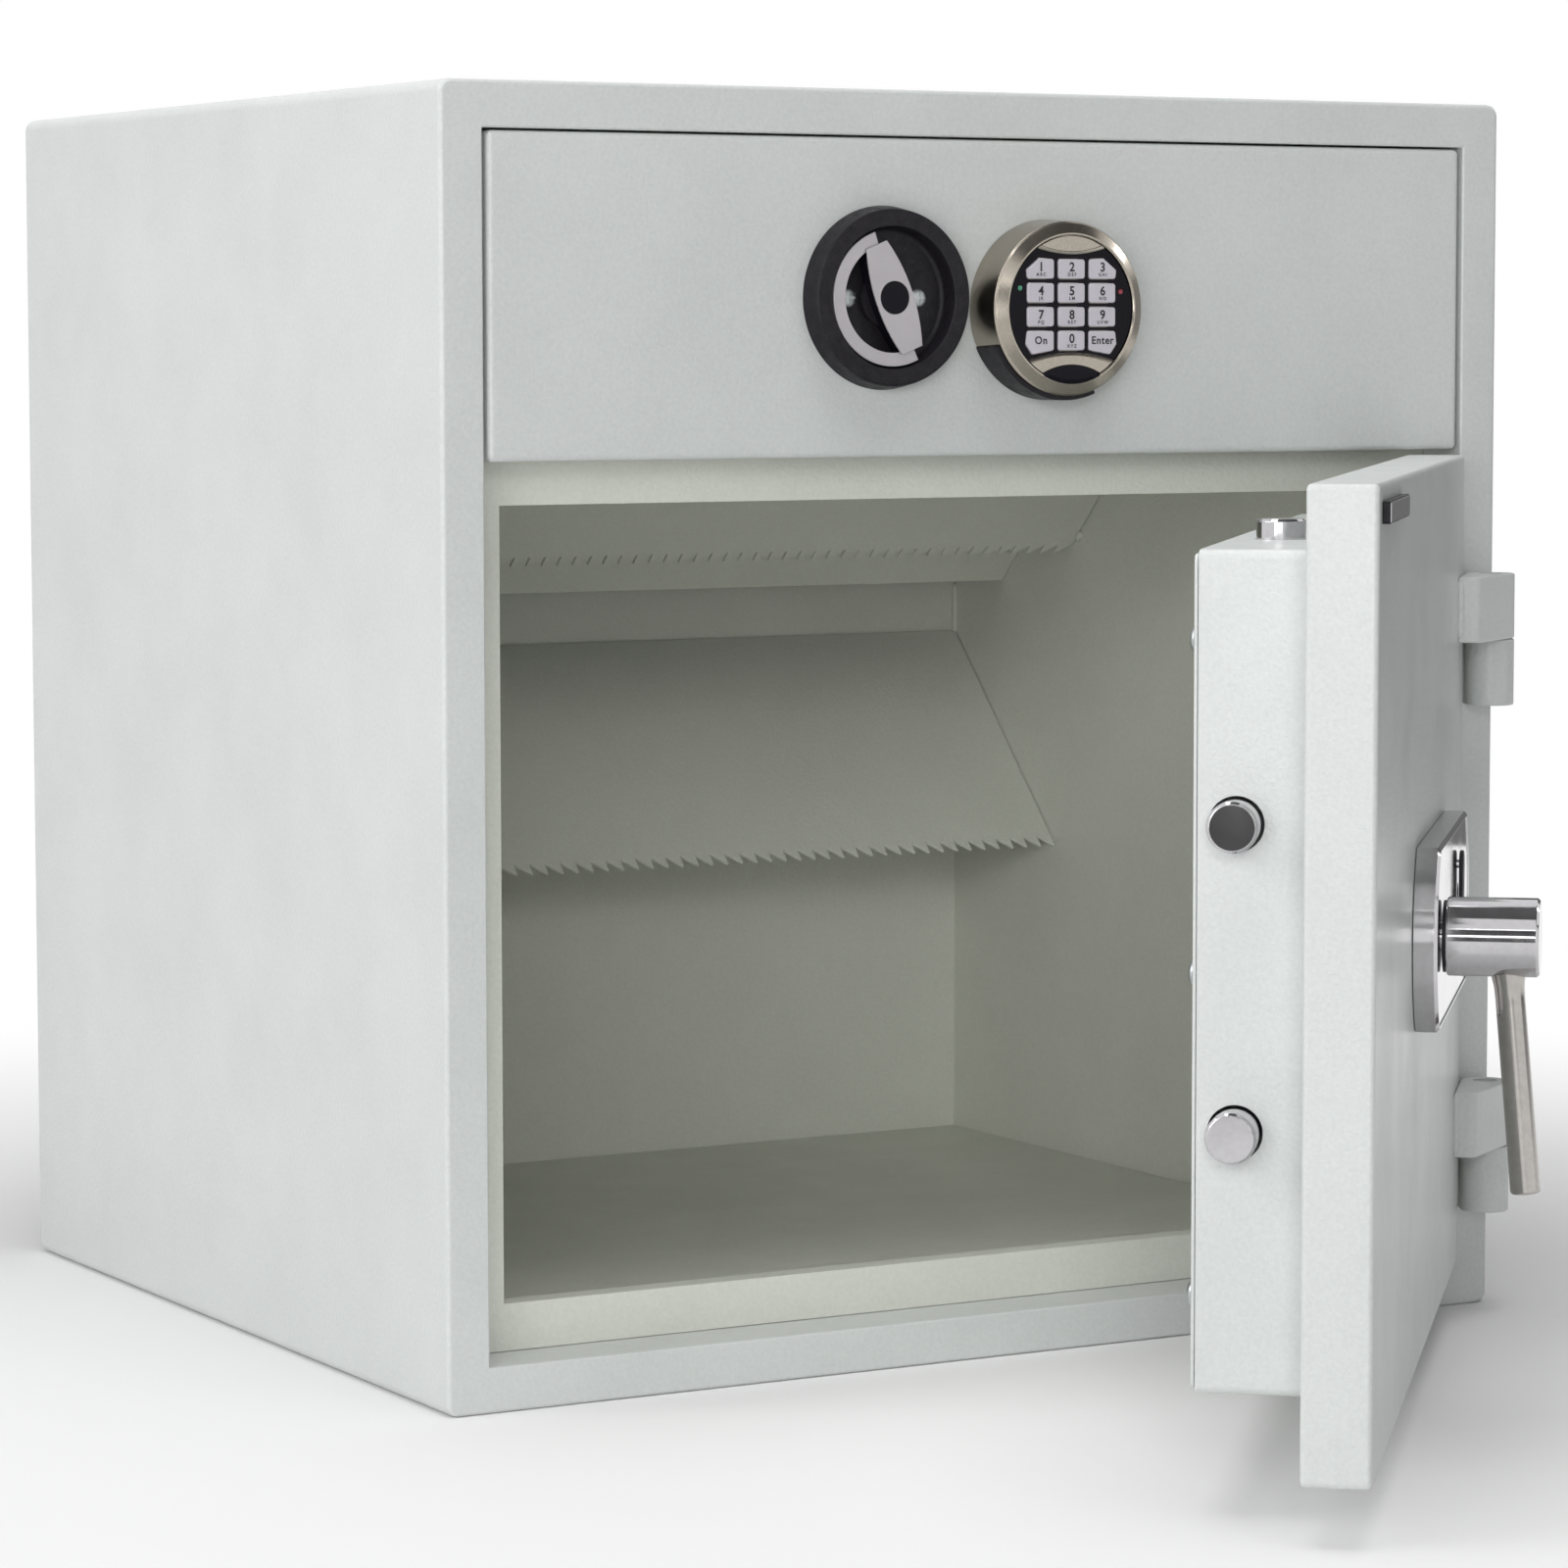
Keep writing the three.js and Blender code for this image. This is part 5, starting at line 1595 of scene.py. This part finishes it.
# %% [markdown]
# The keys are pale caps with softly rounded rims. Their numbers and small letters are printed on
# them: here they are type set as outlines and turned into thin solid shapes, so the print also
# shows in the exported meshes.

# %% The print on the keys
LEGENDS = {
    "key_1": ("1", "ABC"), "key_2": ("2", "DEF"), "key_3": ("3", "GHI"),
    "key_4": ("4", "JK"), "key_5": ("5", "LM"), "key_6": ("6", "NO"),
    "key_7": ("7", "PQ"), "key_8": ("8", "RST"), "key_9": ("9", "UVW"),
    "key_on": ("On", ""), "key_0": ("0", "XYZ"), "key_enter": ("Enter", ""),
}
DIGIT_SIZE = 6.1
DIGIT_UP = 0.8
LETTER_SIZE = 2.2
LETTER_DOWN = 2.7
LETTER_SPACE = 1.5
WORD_SIZE = 5.2
WORD_SPACE = 1.12
WORD_WEIGHT = 0.025
PRINT_THICK = 0.05
PRINT_MERGE = 0.0005
TYPE_STEPS = 4


def set_type(text, size, place):
    """One line of type as a thin mesh that faces the front."""
    curve = bpy.data.curves.new("type", "FONT")
    curve.body = text
    curve.size = size
    curve.align_x = "CENTER"
    curve.align_y = "CENTER"
    curve.extrude = PRINT_THICK
    curve.resolution_u = TYPE_STEPS
    curve.offset = WORD_WEIGHT * size
    curve.space_character = WORD_SPACE if size > LETTER_SIZE else LETTER_SPACE
    setting = place_in_scene("type", curve)
    letters = bmesh.new()
    letters.from_mesh(setting.to_mesh())
    setting.to_mesh_clear()
    turn = Matrix.Translation(place) @ Matrix.Rotation(math.pi / 2, 4, "X")
    bmesh.ops.transform(letters, matrix=turn, verts=letters.verts)
    mesh = bpy.data.meshes.new("letters")
    letters.to_mesh(mesh)
    letters.free()
    bpy.data.objects.remove(setting)
    bpy.data.curves.remove(curve)
    return mesh


def printed(name, lines, body):
    """Join lines of type (text, size, place) in one piece."""
    bm = bmesh.new()
    for line in lines:
        mesh = set_type(*line)
        bm.from_mesh(mesh)
        bpy.data.meshes.remove(mesh)
    bmesh.ops.remove_doubles(bm, verts=bm.verts, dist=PRINT_MERGE)
    make(name, bm, body, "key_plastic", "key_ink")


# %% The caps of the keys
CAP_TOP, CAP_TOP_BEND = 0.25, 0.3
CAP_DRAFT, CAP_DRAFT_BEND = 0.6, 0.2
CAP_INNER, CAP_FOOT = 1.4, 1.0


def make_keys():
    for name in key_nodes:
        low, high = span(name)
        path = profile((CAP_INNER, low.y), (CAP_TOP, low.y, CAP_TOP_BEND),
                       (0.0, low.y + CAP_DRAFT, CAP_DRAFT_BEND), (0.0, high.y), (CAP_FOOT, high.y))
        dress(name, name.replace("key", "cap"), drawn(key_outline(name, low, high, KEY_CORNER), path))
        large, small = LEGENDS[name]
        x, z = middle(name, "xz")
        depth = low.y - PRINT_THICK / 2
        if small:
            lines = [(large, DIGIT_SIZE, (x, depth, z + DIGIT_UP)),
                     (small, LETTER_SIZE, (x, depth, z - LETTER_DOWN))]
        else:
            lines = [(large, WORD_SIZE, (x, depth, z))]
        printed(name.replace("key", "print"), lines, body_of[name])


make_keys()
print(len(LEGENDS), "keys printed")

# %% [markdown]
# Two small lamps sit beside the keys, and the dark lens on the lower cheek is where a maker's
# sign would be. It stays bare.

# %% The small lamps
LIGHTS = {
    "green_light": {"place": (-29.0, 9.8), "look": "green_lens"},
    "red_light": {"place": (28.6, 8.2), "look": "red_lens"},
}
LIGHT_RADIUS = 1.3
LIGHT_RISE = 0.7
LIGHT_SUNK = 0.4


def make_lights():
    foot = face_low.y + LIGHT_SUNK
    for name, values in LIGHTS.items():
        x, z = values["place"]
        path = [(0.0, foot), (LIGHT_RADIUS, foot)] + dome(LIGHT_RADIUS, face_low.y, -LIGHT_RISE)
        light = turned(path, "y", (KEYPAD_AT[0] + x, KEYPAD_AT[1] + z), LIGHT_SIDES)
        make(name, light, "drawer", "black_plastic", values["look"])


make_lights()

# %% The bare lens
LENS_BELOW = 31.7
LENS_LENGTH, LENS_END, LENS_WIDTH = 32.0, 1.6, 9.5
# For each unit of inset the lens loses this much length, end and width
LENS_LESS = (3.0, 0.3, 2.0)
# Inset and height above the barrel's front, from its foot to its crown
LENS_PATH = [(0.0, -1.6), (0.0, 0.0), (0.35, 0.35), (2.0, 0.7), (3.4, 0.8)]


def make_bare_lens():
    x, z = KEYPAD_AT[0], KEYPAD_AT[1] - LENS_BELOW
    rings = []
    for inset, rise in LENS_PATH:
        sizes = [size - less * inset for size, less in zip((LENS_LENGTH, LENS_END, LENS_WIDTH), LENS_LESS)]
        rings.append([(x + b, barrel_low.y - rise, z - a) for a, b in lens(*sizes, (0.0, 0.0))])
    make("bare_lens", joined_rings(rings), "drawer", "black_plastic", "gloss_black")


make_bare_lens()
print(len(made_pieces), "pieces made")

# %% [markdown]
# ## The works
#
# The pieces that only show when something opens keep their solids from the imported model. They get
# their finish, and modifiers weld their facets together and round their edges a little.

# %% Finish the solids that stay
KEPT_EDGE = 0.0004
KEPT_MERGE = 0.00001
KEPT_ROUND_FROM = 30.0


def finish_solid(piece, look):
    piece.data.materials.clear()
    piece.data.materials.append(FINISHES[look])
    weld = piece.modifiers.new("weld", "WELD")
    weld.merge_threshold = KEPT_MERGE
    flat = piece.modifiers.new("flat", "DECIMATE")
    flat.decimate_type = "DISSOLVE"
    flat.angle_limit = math.radians(FLAT_ANGLE)
    soft = piece.modifiers.new("soft_edges", "BEVEL")
    soft.width = KEPT_EDGE
    soft.segments = 2
    soft.limit_method = "ANGLE"
    soft.angle_limit = math.radians(KEPT_ROUND_FROM)


kept = [name for name, piece in frame["nodes"].items() if not piece.hide_render]
for name in kept:
    finish_solid(frame["nodes"][name], slot_of[name])
print(len(kept), "solids stay:", ", ".join(sorted(kept)))
